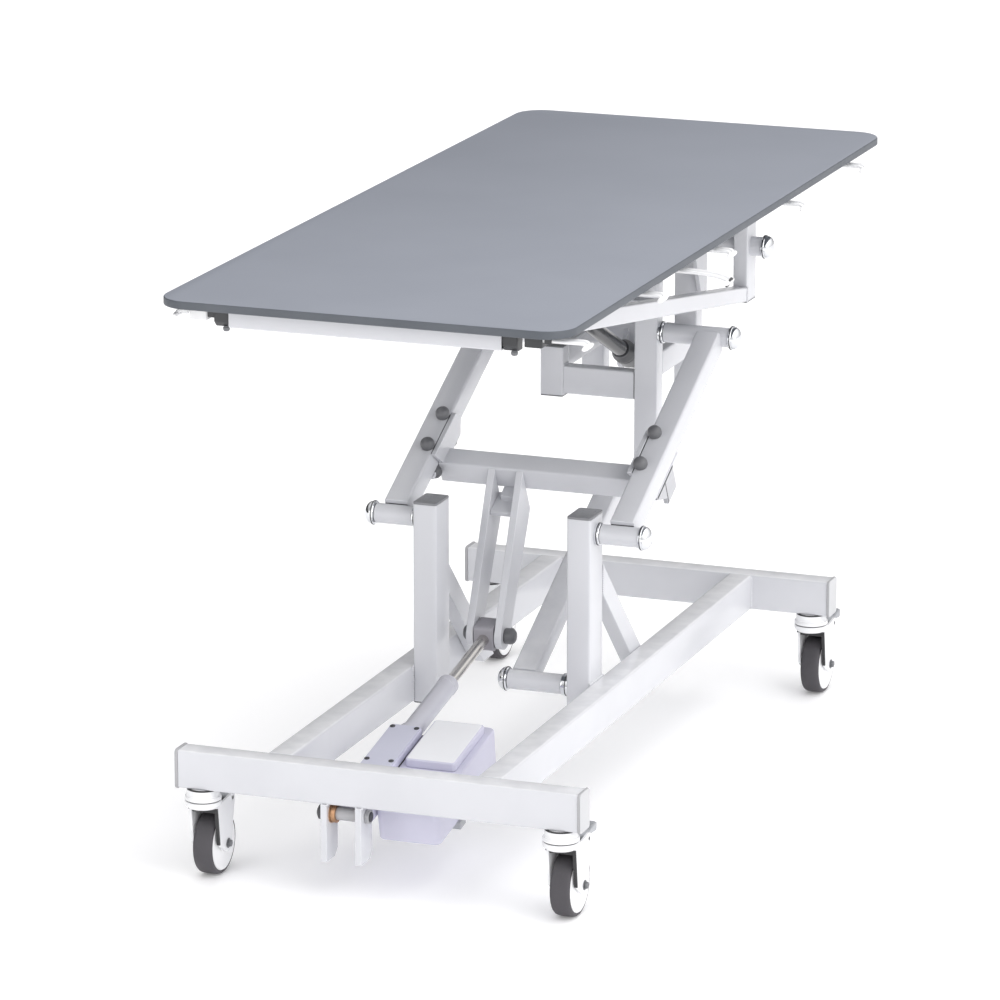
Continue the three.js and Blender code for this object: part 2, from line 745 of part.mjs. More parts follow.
// Cross beam under the arms, with a bracket at each end that is bolted to the arm
const beamHalf = CROSS_BEAM_SECTION / 2;
const beamFrontFace = CROSS_BEAM_ALONG - beamHalf;
const beamRearFace = CROSS_BEAM_ALONG + beamHalf;

function armBracket(side) {
  const start = beamFrontFace - BRACKET_LEAD;
  const end = beamRearFace + BRACKET_REACH;
  const underArm = -ARM_SECTION / 2 - GAP;
  const plateInner = armInner - GAP - BRACKET_PLATE;
  const flange = block(
    [armInner - GAP, armInner + ARM_SECTION],
    [start, end],
    [underArm - BRACKET_FLANGE, underArm],
  );
  const web = alongX(
    polygon([
      [beamFrontFace, -CROSS_BEAM_BELOW],
      [beamRearFace, underArm - BRACKET_FLANGE],
      [end, underArm - BRACKET_FLANGE],
      [end + 2 * BRACKET_PLATE, 0],
      [end, ARM_SECTION / 2],
      [start + BRACKET_PLATE, ARM_SECTION / 2],
    ]),
    BRACKET_PLATE,
    plateInner + BRACKET_PLATE / 2,
  );
  const sideEnd = BRACKET_SIDE_FROM + BRACKET_SIDE_LENGTH;
  const sidePlate = alongX(
    polygon([
      [start, underArm],
      [start, underArm - BRACKET_FLANGE],
      [BRACKET_SIDE_FROM, -BRACKET_GUSSET_BELOW],
      [BRACKET_SIDE_FROM, -BRACKET_SIDE_BELOW],
      [sideEnd, -BRACKET_SIDE_BELOW],
      [sideEnd, underArm],
    ]),
    BRACKET_PLATE,
    armInner + ARM_SECTION - BRACKET_PLATE / 2,
  );
  return mirrored(join(flange, web, sidePlate), side);
}

const crossTube = alongX(
  tubeSection(CROSS_BEAM_SECTION, CROSS_BEAM_SECTION, WALL, EDGE_RADIUS),
  2 * (armInner - GAP),
  0,
).translate(0, CROSS_BEAM_ALONG, -CROSS_BEAM_BELOW);
piece(arms, "arm_cross_beam", join(crossTube, armBracket(-1), armBracket(1)), whitePaint);

// Lift lever: two plates hanging from the cross beam's front face, tied by a spacer plate
const leverSlope = THREE.MathUtils.degToRad(LEVER_SLOPE_DEG);
const leverEnd = [LEVER_END_ALONG, -LEVER_END_BELOW];

function leverPoint(along, across) {
  return [
    leverEnd[0] + along * Math.cos(leverSlope) - across * Math.sin(leverSlope),
    leverEnd[1] + along * Math.sin(leverSlope) + across * Math.cos(leverSlope),
  ];
}

// Where the lever's edge at a distance across it meets the cross beam's front face
function leverTop(across) {
  const face = beamFrontFace - GAP;
  const along = (face - leverEnd[0] + across * Math.sin(leverSlope)) / Math.cos(leverSlope);
  return leverPoint(along, across);
}

function leverPlate(side) {
  const half = LEVER_DEPTH / 2;
  const outline = new THREE.Shape();
  outline.moveTo(...leverTop(half));
  outline.lineTo(...leverPoint(0, half));
  outline.absarc(...leverEnd, half, leverSlope + Math.PI / 2, leverSlope + 1.5 * Math.PI, false);
  outline.lineTo(...leverTop(-half));
  const hole = new THREE.Path();
  hole.absarc(...leverEnd, LEVER_PIN_RADIUS + RUNNING, 0, 2 * Math.PI, true);
  outline.holes.push(hole);
  return alongX(outline, LEVER_PLATE, LEVER_OFFSET + (side * (LEVER_GAP + LEVER_PLATE)) / 2, ARC_STEPS);
}

function leverSpacer() {
  const face = beamFrontFace - GAP;
  return alongX(
    polygon([
      [LEVER_SPACER_FROM, -LEVER_SPACER_BELOW - LEVER_SPACER_THICKNESS],
      [face, -LEVER_SPACER_BELOW - LEVER_SPACER_THICKNESS],
      [face, -LEVER_SPACER_BELOW],
      [LEVER_SPACER_FROM, -LEVER_SPACER_BELOW],
    ]),
    LEVER_GAP + LEVER_PLATE,
    LEVER_OFFSET,
  );
}

piece(arms, "lift_lever", join(leverPlate(-1), leverPlate(1), leverSpacer()), whitePaint);

const leverHalf = LEVER_GAP / 2 + LEVER_PLATE + GAP;
const leverPin = revolveX([
  [0, -leverHalf - LEVER_CAP_LENGTH],
  [LEVER_CAP_RADIUS * LEVER_CAP_FACE, -leverHalf - LEVER_CAP_LENGTH],
  [LEVER_CAP_RADIUS, -leverHalf - LEVER_CAP_LENGTH / 2],
  [LEVER_CAP_RADIUS, -leverHalf],
  [LEVER_PIN_RADIUS, -leverHalf],
  [LEVER_PIN_RADIUS, leverHalf],
  [LEVER_CAP_RADIUS, leverHalf],
  [LEVER_CAP_RADIUS, leverHalf + LEVER_CAP_LENGTH / 2],
  [LEVER_CAP_RADIUS * LEVER_CAP_FACE, leverHalf + LEVER_CAP_LENGTH],
  [0, leverHalf + LEVER_CAP_LENGTH],
]);
piece(arms, "lift_lever_pin", leverPin, blackPlastic).position.set(LEVER_OFFSET, ...leverEnd);

// Parallel link that keeps the carriage upright
const link = place(...linkPivot, ARM_ANGLE);
const linkArm = swingArm(
  ARM_LENGTH,
  LINK_WIDTH,
  LINK_HEIGHT,
  LINK_OFFSET,
  [linkSleeveInner, linkSleeveInner + lowerLinkSleeve],
  [linkSleeveInner, linkSleeveInner + upperLinkSleeve],
);
piece(link, "parallel_link", linkArm, whitePaint);

// Upper carriage: four posts, two ties and two side bars, drawn about the arms' upper pivot
const carriage = place(...carriagePivot);
const longPostUnder = -LINK_DROP - LONG_POST_BELOW_LINK;
const carriageSection = tubeSection(
  CARRIAGE_POST_WIDTH,
  CARRIAGE_POST_DEPTH,
  THIN_WALL,
  THIN_EDGE_RADIUS,
);
const hingeAt = [HINGE_BACK, HINGE_UP];

function carriagePost(under, top, y) {
  const length = top - under;
  return extrude(carriageSection, length).translate(0, y, under + length / 2);
}

// The left front post stops level with its side bar. An ear let into its outer wall carries the arm's pin.
const shortPostTop = -SIDE_BAR_BELOW + SIDE_BAR_HEIGHT / 2;

function pinEar(side) {
  const outline = new THREE.Shape();
  const under = shortPostTop - PIN_EAR_TAIL;
  outline.moveTo(-PIN_EAR_ROOT / 2, under);
  outline.lineTo(PIN_EAR_ROOT / 2, under);
  outline.lineTo(COLLAR_RADIUS, 0);
  outline.absarc(0, 0, COLLAR_RADIUS, 0, Math.PI, false);
  return alongX(outline, PIN_EAR_PLATE, (side * (CARRIAGE_POST_WIDTH - PIN_EAR_PLATE)) / 2, ARC_STEPS);
}

function shortPost(side) {
  return join(carriagePost(-SHORT_POST_BELOW, shortPostTop, 0), pinEar(side));
}

// Ear on a rear post's outer face that carries the tilt pin
function hingePlate(side) {
  const outline = new THREE.Shape();
  const back = REAR_POST_SETBACK + CARRIAGE_POST_DEPTH / 2;
  const front = back - CARRIAGE_POST_DEPTH;
  outline.moveTo(back, CARRIAGE_TOP);
  outline.lineTo(HINGE_BACK + HINGE_EAR_RADIUS, HINGE_UP);
  outline.absarc(...hingeAt, HINGE_EAR_RADIUS, 0, Math.PI, false);
  outline.lineTo(front, CARRIAGE_TOP - HINGE_PLATE_TAIL);
  outline.lineTo(back, CARRIAGE_TOP - HINGE_PLATE_TAIL);
  const middle = (CARRIAGE_POST_WIDTH + HINGE_PLATE) / 2 - GAP;
  return alongX(outline, HINGE_PLATE, side * middle, ARC_STEPS);
}

for (const [name, side] of SIDES) {
  const x = (side * CARRIAGE_POST_SPACING) / 2;
  const frontPost = side > 0 ? carriagePost(longPostUnder, CARRIAGE_TOP, 0) : shortPost(side);
  piece(carriage, "carriage_front_post_" + name, frontPost, whitePaint).position.x = x;
  const rearPost = join(
    carriagePost(-REAR_POST_BELOW, CARRIAGE_TOP, REAR_POST_SETBACK),
    hingePlate(side),
  );
  piece(carriage, "carriage_rear_post_" + name, rearPost, whitePaint).position.x = x;
  const barLength = REAR_POST_SETBACK - CARRIAGE_POST_DEPTH - 2 * GAP;
  const bar = alongY(
    tubeSection(CARRIAGE_POST_WIDTH, SIDE_BAR_HEIGHT, THIN_WALL, THIN_EDGE_RADIUS),
    barLength,
    REAR_POST_SETBACK / 2,
  );
  piece(carriage, "carriage_side_bar_" + name, bar, whitePaint).position.set(x, 0, -SIDE_BAR_BELOW);
  const pinFace = side * carriageOuter;
  const upperSleeve = armSleeveEnd - upperSleeveStart;
  pinPiece(carriage, "carriage_pin_" + name, COLLAR_LENGTH, upperSleeve, pinFace, side, 0, 0);
}
pinPiece(carriage, "link_pin_upper", COLLAR_LENGTH, upperLinkSleeve, carriageInner, -1, 0, -LINK_DROP);

const tieLength = 2 * (carriageInner - GAP);
const frontTie = alongX(
  tubeSection(FRONT_TIE_DEPTH, FRONT_TIE_HEIGHT, THIN_WALL, THIN_EDGE_RADIUS),
  tieLength,
  0,
);
piece(carriage, "carriage_front_tie", frontTie, whitePaint).position.z = -FRONT_TIE_BELOW;

// Ears with a pin between them, reaching from a tie or cross tube to an actuator's eye
function actuatorEars(reachY, reachZ, rootHalf) {
  const length = Math.hypot(reachY, reachZ);
  const outline = new THREE.Shape();
  outline.moveTo(0, -rootHalf);
  outline.lineTo(length, -TILT_EAR_RADIUS);
  outline.absarc(length, 0, TILT_EAR_RADIUS, -Math.PI / 2, Math.PI / 2, false);
  outline.lineTo(0, rootHalf);
  const turn = Math.atan2(reachZ, reachY);
  const [left, right] = [-1, 1].map((side) =>
    alongX(outline, TILT_EAR_PLATE, (side * (TILT_EAR_GAP + TILT_EAR_PLATE)) / 2, SMALL_ARC_STEPS)
      .rotateX(turn),
  );
  const half = TILT_EAR_GAP / 2 + TILT_EAR_PLATE;
  const pin = revolveX(rod(TILT_PIN_RADIUS, -half, half)).translate(0, reachY, reachZ);
  return join(left, right, pin);
}

const tailReach = REAR_TIE_DEPTH / 2 + TILT_TAIL_FORWARD;
const rearTie = join(
  alongX(tubeSection(REAR_TIE_DEPTH, REAR_TIE_HEIGHT, THIN_WALL, THIN_EDGE_RADIUS), tieLength, 0),
  actuatorEars(-tailReach, -TILT_TAIL_DROP, REAR_TIE_HEIGHT / 2 - THIN_EDGE_RADIUS),
);
piece(carriage, "carriage_rear_tie", rearTie, whitePaint)
  .position.set(0, REAR_POST_SETBACK, -REAR_TIE_BELOW);

// Tilt pins on the carriage's ears
const tiltFace = carriageOuter + HINGE_PLATE - GAP;
const tiltSleeveStart = tiltFace + GAP + COLLAR_LENGTH + END_PLAY;
const tiltSleeve = armSleeveEnd - tiltSleeveStart;
for (const [name, side] of SIDES)
  pinPiece(carriage, "tilt_pin_" + name, COLLAR_LENGTH, tiltSleeve, side * tiltFace, side, ...hingeAt);

// Table frame, drawn about the middle of the top's underside
const tableFrame = place(...tableOrigin);
const hingeLocal = [HINGE_FROM_MIDDLE, -HINGE_TO_TOP];
const barFront = -TOP_LENGTH / 2 + FRONT_TUBE_FROM_EDGE + FRONT_TUBE_SECTION + GAP;
const barRear = HINGE_FROM_MIDDLE - LUG_DEPTH / 2;
const lugUnder = -HINGE_TO_TOP - LUG_BELOW_HINGE;

// Height of the sloping side bar's lower edge below the top
function barUnder(y) {
  return -FRONT_TUBE_SECTION + ((y - barFront) / (barRear - barFront)) * -TABLE_BAR_DROP;
}

// Sloping side bar welded to the upright lug that turns on the tilt pin
function sideFrame() {
  const lugLength = -GAP - lugUnder;
  const lug = extrude(tubeSection(LUG_WIDTH, LUG_DEPTH, THIN_WALL, THIN_EDGE_RADIUS), lugLength)
    .translate(0, HINGE_FROM_MIDDLE, lugUnder + lugLength / 2);
  const rise = FRONT_TUBE_SECTION - GAP;
  const overlap = THIN_WALL / 2;
  const bar = alongX(
    polygon([
      [barFront, barUnder(barFront) + rise],
      [barFront, barUnder(barFront)],
      [barRear + overlap, barUnder(barRear)],
      [barRear + overlap, barUnder(barRear) + TABLE_BAR_HEIGHT],
      [barFront + TABLE_BAR_HEIGHT, barUnder(barFront) + rise],
    ]),
    LUG_WIDTH,
    0,
  );
  const sleeve = revolveX(rod(SLEEVE_RADIUS, tiltSleeveStart - armCentre, armSleeveEnd - armCentre))
    .translate(0, ...hingeLocal);
  const bore = revolveX(rod(PIN_RADIUS + RUNNING, -armCentre, armCentre)).translate(0, ...hingeLocal);
  return cut(join(lug, bar, sleeve), bore);
}

for (const [name, side] of SIDES)
  piece(tableFrame, "table_side_frame_" + name, mirrored(sideFrame(), side), whitePaint)
    .position.x = side * armCentre;

const sideInner = armCentre - LUG_WIDTH / 2 - GAP;
const frontTube = alongX(
  tubeSection(FRONT_TUBE_SECTION, FRONT_TUBE_SECTION, THIN_WALL, THIN_EDGE_RADIUS),
  FRONT_TUBE_LENGTH,
  0,
);
const frontTubeY = -TOP_LENGTH / 2 + FRONT_TUBE_FROM_EDGE + FRONT_TUBE_SECTION / 2;
piece(tableFrame, "table_front_tube", frontTube, whitePaint)
  .position.set(0, frontTubeY, -GAP - FRONT_TUBE_SECTION / 2);
const crossSection = tubeSection(CROSS_TUBE_SECTION, CROSS_TUBE_SECTION, THIN_WALL, THIN_EDGE_RADIUS);
piece(tableFrame, "table_rear_tube", alongX(crossSection, 2 * sideInner, 0), whitePaint)
  .position.set(0, HINGE_FROM_MIDDLE, -GAP - CROSS_TUBE_SECTION / 2);

// Middle cross tube between the side bars, with the ears for the tilt actuator's rod
const tiltHead = [TILT_HEAD_FROM_MIDDLE, -TILT_HEAD_BELOW_TOP];
const middleTubeY = TILT_HEAD_FROM_MIDDLE - MIDDLE_TUBE_FORWARD;
const middleTubeZ = barUnder(middleTubeY) + TABLE_BAR_HEIGHT / 2;
const headEars = actuatorEars(
  tiltHead[0] - middleTubeY,
  tiltHead[1] - middleTubeZ,
  CROSS_TUBE_SECTION / 2 - THIN_EDGE_RADIUS,
);
piece(tableFrame, "table_middle_tube", join(alongX(crossSection, 2 * sideInner, 0), headEars), whitePaint)
  .position.set(0, middleTubeY, middleTubeZ);

// Stop blocks on the ends of the front tube
function stopBlock() {
  const [low, high] = [-GAP - STOP_BLOCK_HEIGHT, -GAP];
  const half = STOP_BLOCK_DEPTH / 2;
  return alongX(
    polygon([
      [-half, high],
      [-half, low + STOP_BLOCK_STEP],
      [-half + STOP_BLOCK_STEP, low],
      [half, low],
      [half, high],
    ]),
    STOP_BLOCK_WIDTH,
    0,
  );
}
for (const [name, side] of SIDES)
  piece(tableFrame, "stop_block_" + name, stopBlock(), blackPlastic)
    .position.set(side * (FRONT_TUBE_LENGTH / 2 + GAP + STOP_BLOCK_WIDTH / 2), frontTubeY, 0);

// Two-pronged strap hook: bent wire held in a block under the top, drawn for the right-hand edge
function hookProng(y, reach) {
  const edge = TOP_WIDTH / 2;
  const low = -HOOK_BELOW;
  const path = new THREE.CatmullRomCurve3(
    [
      [edge - HOOK_ROOT, low],
      [edge + reach - HOOK_BEND_LENGTH, low],
      [edge + reach - HOOK_WIRE_RADIUS, low - HOOK_TIP_DROP * HOOK_BEND_FALL],
      [edge + reach - HOOK_WIRE_RADIUS, low - HOOK_TIP_DROP],
    ].map(([x, z]) => new THREE.Vector3(x, y, z)),
  );
  const section = new THREE.Shape();
  section.absarc(0, 0, HOOK_WIRE_RADIUS, 0, 2 * Math.PI, false);
  return new THREE.ExtrudeGeometry(section, {
    steps: HOOK_PATH_STEPS,
    extrudePath: path,
    curveSegments: HOOK_WIRE_STEPS,
  });
}

function strapHook(y, reach) {
  const start = TOP_WIDTH / 2 - HOOK_ROOT - HOOK_BLOCK_LENGTH / 2;
  const holder = block(
    [start, start + HOOK_BLOCK_LENGTH],
    [y - HOOK_BLOCK_WIDTH / 2, y + HOOK_BLOCK_WIDTH / 2],
    [-HOOK_BLOCK_HEIGHT, TOP_EDGE],
  );
  const half = HOOK_PRONG_SPACING / 2;
  return [holder, hookProng(y - half, reach), hookProng(y + half, reach)];
}

// Top: laminate board with eased edges, carrying its hooks
function tableTop() {
  const outline = roundedRectangle(TOP_WIDTH, TOP_LENGTH, TOP_CORNER_RADIUS);
  const board = new THREE.ExtrudeGeometry(outline, {
    depth: TOP_THICKNESS - 2 * TOP_EDGE,
    bevelThickness: TOP_EDGE,
    bevelSize: TOP_EDGE,
    bevelOffset: -TOP_EDGE,
    bevelSegments: 1,
    curveSegments: ARC_STEPS,
  }).translate(0, 0, TOP_EDGE);
  const [front, rear] = [-TOP_LENGTH / 2, TOP_LENGTH / 2];
  const places = [
    ...HOOKS_FROM_FRONT.map((back) => front + back),
    ...HOOKS_FROM_REAR.map((forward) => rear - forward),
  ];
  const pulledOut = places.flatMap((y) => strapHook(y, HOOK_REACH));
  const pushedIn = places.flatMap((y) => strapHook(y, -HOOK_PUSHED_IN).map((part) => mirrored(part, -1)));
  return join(board, ...pulledOut, ...pushedIn, ...strapHook(front + LONG_HOOK_FROM_FRONT, LONG_HOOK_REACH));
}
piece(tableFrame, "table_top", tableTop(), laminate);

// Lift actuator, drawn along Y from its tail eye
const leverEndWorld = [
  armPivot[0] + leverEnd[0] * Math.cos(ARM_ANGLE) - leverEnd[1] * Math.sin(ARM_ANGLE),
  armPivot[1] + leverEnd[0] * Math.sin(ARM_ANGLE) + leverEnd[1] * Math.cos(ARM_ANGLE),
];
const liftReach = [leverEndWorld[0] - liftTail[0], leverEndWorld[1] - liftTail[1]];
const liftLength = Math.hypot(...liftReach);
const lift = place(...liftTail, Math.atan2(liftReach[1], liftReach[0]));
lift.position.x = LEVER_OFFSET;
const gearboxEnd = GEARBOX_START + GEARBOX_LENGTH;
const ramBore = RAM_RADIUS + RUNNING;

function gearbox() {
  const height = GEARBOX_ABOVE + GEARBOX_BELOW;
  const shell = alongY(
    roundedRectangle(GEARBOX_WIDTH, height, GEARBOX_EDGE),
    GEARBOX_LENGTH,
    GEARBOX_START + GEARBOX_LENGTH / 2,
  ).translate(0, 0, (GEARBOX_ABOVE - GEARBOX_BELOW) / 2);
  const neck = block(
    [-TAIL_EYE_WIDTH / 2, TAIL_EYE_WIDTH / 2],
    [0, GEARBOX_START + GEARBOX_EDGE],
    [-TAIL_NECK_HALF, TAIL_NECK_HALF],
  );
  const eye = revolveX(rod(TAIL_EYE_RADIUS, -TAIL_EYE_WIDTH / 2, TAIL_EYE_WIDTH / 2));
  const eyeHole = revolveX(rod(TAIL_BOLT_RADIUS + RUNNING, -TAIL_EYE_WIDTH, TAIL_EYE_WIDTH));
  const bore = revolveY(rod(ramBore, gearboxEnd - RAM_TRAVEL_INSIDE, gearboxEnd + OVERRUN));
  return cut(join(shell, neck, eye), eyeHole, bore);
}
piece(lift, "lift_gearbox", gearbox(), lilacPlastic);

const ramTubeStart = gearboxEnd + GAP;
const ramTubeEnd = ramTubeStart + RAM_TUBE_LENGTH;
const ramTube = revolveY(ring(ramBore, RAM_TUBE_RADIUS, ramTubeStart, ramTubeEnd));
piece(lift, "lift_ram_tube", ramTube, lilacPlastic);

function liftRam() {
  const eyeBore = LEVER_PIN_RADIUS + ROD_EYE_CLEARANCE;
  const shaftEnd = liftLength - eyeBore - ROD_SHORT_OF_EYE;
  const shaft = revolveY(rod(RAM_RADIUS, ramTubeEnd - RAM_INSIDE, shaftEnd));
  const eye = alongX(
    roundedRectangle(2 * ROD_EYE_HALF, 2 * ROD_EYE_HALF, EDGE_RADIUS),
    ROD_EYE_WIDTH,
    0,
  ).translate(0, liftLength, 0);
  const hole = revolveX(rod(eyeBore, -ROD_EYE_WIDTH, ROD_EYE_WIDTH)).translate(0, liftLength, 0);
  return cut(join(shaft, eye), hole);
}
piece(lift, "lift_ram", liftRam(), steel);

// Control box beside the gearbox: drafted moulding, narrower below, with a raised lid
const controlX = GEARBOX_WIDTH / 2 + GAP + CONTROL_WIDTH / 2;

function controlBox() {
  const height = CONTROL_ABOVE + CONTROL_BELOW;
  const body = new THREE.ExtrudeGeometry(roundedRectangle(CONTROL_WIDTH, CONTROL_LENGTH, CONTROL_EDGE), {
    depth: height,
    bevelEnabled: false,
    curveSegments: SMALL_ARC_STEPS,
  });
  const corners = body.getAttribute("position");
  for (let i = 0; i < corners.count; i += 1) {
    const drawn = 1 - corners.getZ(i) / height;
    const outwards = Math.max(0, corners.getX(i)) / (CONTROL_WIDTH / 2);
    corners.setX(i, corners.getX(i) - 2 * CONTROL_DRAFT * drawn * outwards);
    corners.setY(i, corners.getY(i) * (1 - (2 * CONTROL_DRAFT * drawn) / CONTROL_LENGTH));
  }
  return body.translate(controlX, CONTROL_START + CONTROL_LENGTH / 2, -CONTROL_BELOW);
}
piece(lift, "control_box", controlBox(), lilacPlastic);

const lid = new THREE.ExtrudeGeometry(roundedRectangle(LID_WIDTH, LID_LENGTH, LID_EDGE), {
  depth: LID_HEIGHT - LID_CHAMFER,
  bevelThickness: LID_CHAMFER,
  bevelSize: LID_CHAMFER,
  bevelOffset: -LID_CHAMFER,
  bevelSegments: 1,
  curveSegments: LID_ARC_STEPS,
});
const lidUnder = block(
  [-LID_WIDTH, LID_WIDTH],
  [-LID_LENGTH, LID_LENGTH],
  [-2 * LID_CHAMFER, 0],
);
piece(lift, "control_lid", cut(lid, lidUnder), lilacPlastic)
  .position.set(controlX, LID_START + LID_LENGTH / 2, CONTROL_ABOVE + GAP);

// Tilt actuator, drawn along Y from its tail pin on the carriage to its eye under the table
const tiltTail = [
  carriagePivot[0] + REAR_POST_SETBACK - tailReach,
  carriagePivot[1] - REAR_TIE_BELOW - TILT_TAIL_DROP,
];
const tiltReach = [
  tableOrigin[0] + tiltHead[0] - tiltTail[0],
  tableOrigin[1] + tiltHead[1] - tiltTail[1],
];
const tiltLength = Math.hypot(...tiltReach);
const tilt = place(...tiltTail, Math.atan2(tiltReach[1], tiltReach[0]));
const tiltBodyEnd = TILT_BODY_START + TILT_BODY_LENGTH;
const tiltTubeEnd = tiltBodyEnd + TILT_TUBE_LENGTH;

function tiltBody() {
  const body = revolveY([
    [0, TILT_BODY_START - TILT_TAIL_TAPER],
    [TILT_EYE_RADIUS, TILT_BODY_START - TILT_TAIL_TAPER],
    [TILT_BODY_RADIUS, TILT_BODY_START],
    [TILT_BODY_RADIUS, tiltBodyEnd - TILT_NOSE_TAPER],
    [TILT_TUBE_RADIUS, tiltBodyEnd],
    [TILT_TUBE_RADIUS, tiltTubeEnd],
    [0, tiltTubeEnd],
  ]);
  const eye = revolveX(rod(TILT_EYE_RADIUS, -TILT_EYE_WIDTH / 2, TILT_EYE_WIDTH / 2));
  const neck = block(
    [-TILT_EYE_WIDTH / 2, TILT_EYE_WIDTH / 2],
    [0, TILT_BODY_START],
    [-TILT_EYE_RADIUS / 2, TILT_EYE_RADIUS / 2],
  );
  const eyeHole = revolveX(rod(TILT_PIN_RADIUS + RUNNING, -TILT_EYE_WIDTH, TILT_EYE_WIDTH));
  const bore = revolveY(rod(ramBore, tiltTubeEnd - TILT_ROD_INSIDE - GAP, tiltTubeEnd + OVERRUN));
  return cut(join(body, eye, neck), eyeHole, bore);
}
piece(tilt, "tilt_actuator_body", tiltBody(), darkPlastic);

function tiltRod() {
  const eyeBore = TILT_PIN_RADIUS + TILT_EYE_CLEARANCE;
  const shaftEnd = tiltLength - eyeBore - ROD_SHORT_OF_EYE;
  const shaft = revolveY(rod(RAM_RADIUS, tiltTubeEnd - TILT_ROD_INSIDE, shaftEnd));
  const eye = revolveX(rod(TILT_EYE_RADIUS, -TILT_EYE_WIDTH / 2, TILT_EYE_WIDTH / 2))
    .translate(0, tiltLength, 0);
  const hole = revolveX(rod(eyeBore, -TILT_EYE_WIDTH, TILT_EYE_WIDTH)).translate(0, tiltLength, 0);
  return cut(join(shaft, eye), hole);
}
piece(tilt, "tilt_actuator_rod", tiltRod(), steel);

// The long hook stands out on the right only, so the whole is shifted until its box is centred.
const overall = new THREE.Box3().setFromObject(table, true);
table.position.x = -(overall.min.x + overall.max.x) / 2;

export default table;
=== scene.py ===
import json
import math

import bmesh
import bpy
from mathutils import Matrix, Vector


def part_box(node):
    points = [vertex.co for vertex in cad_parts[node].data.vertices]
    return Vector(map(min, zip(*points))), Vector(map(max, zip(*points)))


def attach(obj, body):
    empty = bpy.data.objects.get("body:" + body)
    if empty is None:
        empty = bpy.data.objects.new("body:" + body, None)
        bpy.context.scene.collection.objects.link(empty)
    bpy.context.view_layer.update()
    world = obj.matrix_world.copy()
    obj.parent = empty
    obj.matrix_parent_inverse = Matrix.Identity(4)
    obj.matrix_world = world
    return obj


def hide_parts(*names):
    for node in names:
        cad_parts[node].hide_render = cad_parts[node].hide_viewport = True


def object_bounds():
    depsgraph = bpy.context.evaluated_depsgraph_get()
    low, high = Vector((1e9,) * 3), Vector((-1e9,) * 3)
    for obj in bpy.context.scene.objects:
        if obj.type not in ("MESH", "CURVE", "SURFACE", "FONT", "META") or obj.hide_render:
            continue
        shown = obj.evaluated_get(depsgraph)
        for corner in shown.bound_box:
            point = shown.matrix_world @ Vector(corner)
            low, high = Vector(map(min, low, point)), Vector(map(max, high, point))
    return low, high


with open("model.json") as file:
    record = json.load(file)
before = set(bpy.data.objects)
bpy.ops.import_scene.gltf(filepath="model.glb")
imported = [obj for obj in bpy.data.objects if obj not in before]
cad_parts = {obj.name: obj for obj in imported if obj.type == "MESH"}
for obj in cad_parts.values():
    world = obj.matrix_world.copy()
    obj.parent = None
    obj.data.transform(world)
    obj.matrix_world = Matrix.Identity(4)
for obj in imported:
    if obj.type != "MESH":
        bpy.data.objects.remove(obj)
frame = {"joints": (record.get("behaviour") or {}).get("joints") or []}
cad_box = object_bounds()

# Camera: a long lens to the front right and a little above the board.
# It stands where the board's edges, the beams and the pivots line up as photographed.
# The table's own middle plane lies left of the frame's, as one long hook stands out on the right.
MIDDLE_X = sum(corner.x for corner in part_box("table_front_tube")) / 2
CAMERA_PLACE = Vector((3.00647 + MIDDLE_X, -8.30431, 2.77848))
CAMERA_AZIMUTH = math.radians(20.353)
CAMERA_ELEVATION = math.radians(14.768)
CAMERA_LENS = 204.3
CAMERA_SENSOR = 36.0
sight = Vector((
    -math.sin(CAMERA_AZIMUTH) * math.cos(CAMERA_ELEVATION),
    math.cos(CAMERA_AZIMUTH) * math.cos(CAMERA_ELEVATION),
    -math.sin(CAMERA_ELEVATION),
))
camera_data = bpy.data.cameras.new("camera")
camera_data.lens = CAMERA_LENS
camera_data.sensor_width = CAMERA_SENSOR
camera_data.clip_end = 1000.0
camera = bpy.data.objects.new("camera", camera_data)
camera.location = CAMERA_PLACE
camera.rotation_mode = "QUATERNION"
camera.rotation_quaternion = sight.to_track_quat("-Z", "Y")
bpy.context.scene.collection.objects.link(camera)
bpy.context.scene.camera = camera

# Studio: a pale floor, a white surround that is brightest to the upper right, and two soft boxes.
# The key box stands to the right, the fill to the left, both in front.
FLOOR_HALF = 400.0
FLOOR_COLOUR = (0.965, 0.965, 0.968, 1.0)
FLOOR_ROUGHNESS = 0.6
FLOOR_GLOW = 0.14
BRIGHT_SIDE = Vector((0.50, -0.12, 0.86)).normalized()
SURROUND_DIM = 0.02
SURROUND_BRIGHT = 1.82
SURROUND_START = -0.20
SURROUND_TINT = (1.0, 0.995, 1.0, 1.0)
SOFT_BOXES = {"key_box": ((3.6, -1.8, 2.2), 2.4, 32.0), "fill_box": ((-2.4, -4.4, 1.6), 2.6, 32.0)}
TABLE_MIDDLE = Vector((0.0, 0.0, 0.5))


def add_node(tree, kind, values=None, **settings):
    """Adds a node, then links or sets each input that is given by name or place."""
    made = tree.nodes.new(kind)
    for name, value in settings.items():
        setattr(made, name, value)
    for place, value in (values or {}).items():
        if isinstance(value, bpy.types.NodeSocket):
            tree.links.new(value, made.inputs[place])
        else:
            made.inputs[place].default_value = value
    return made


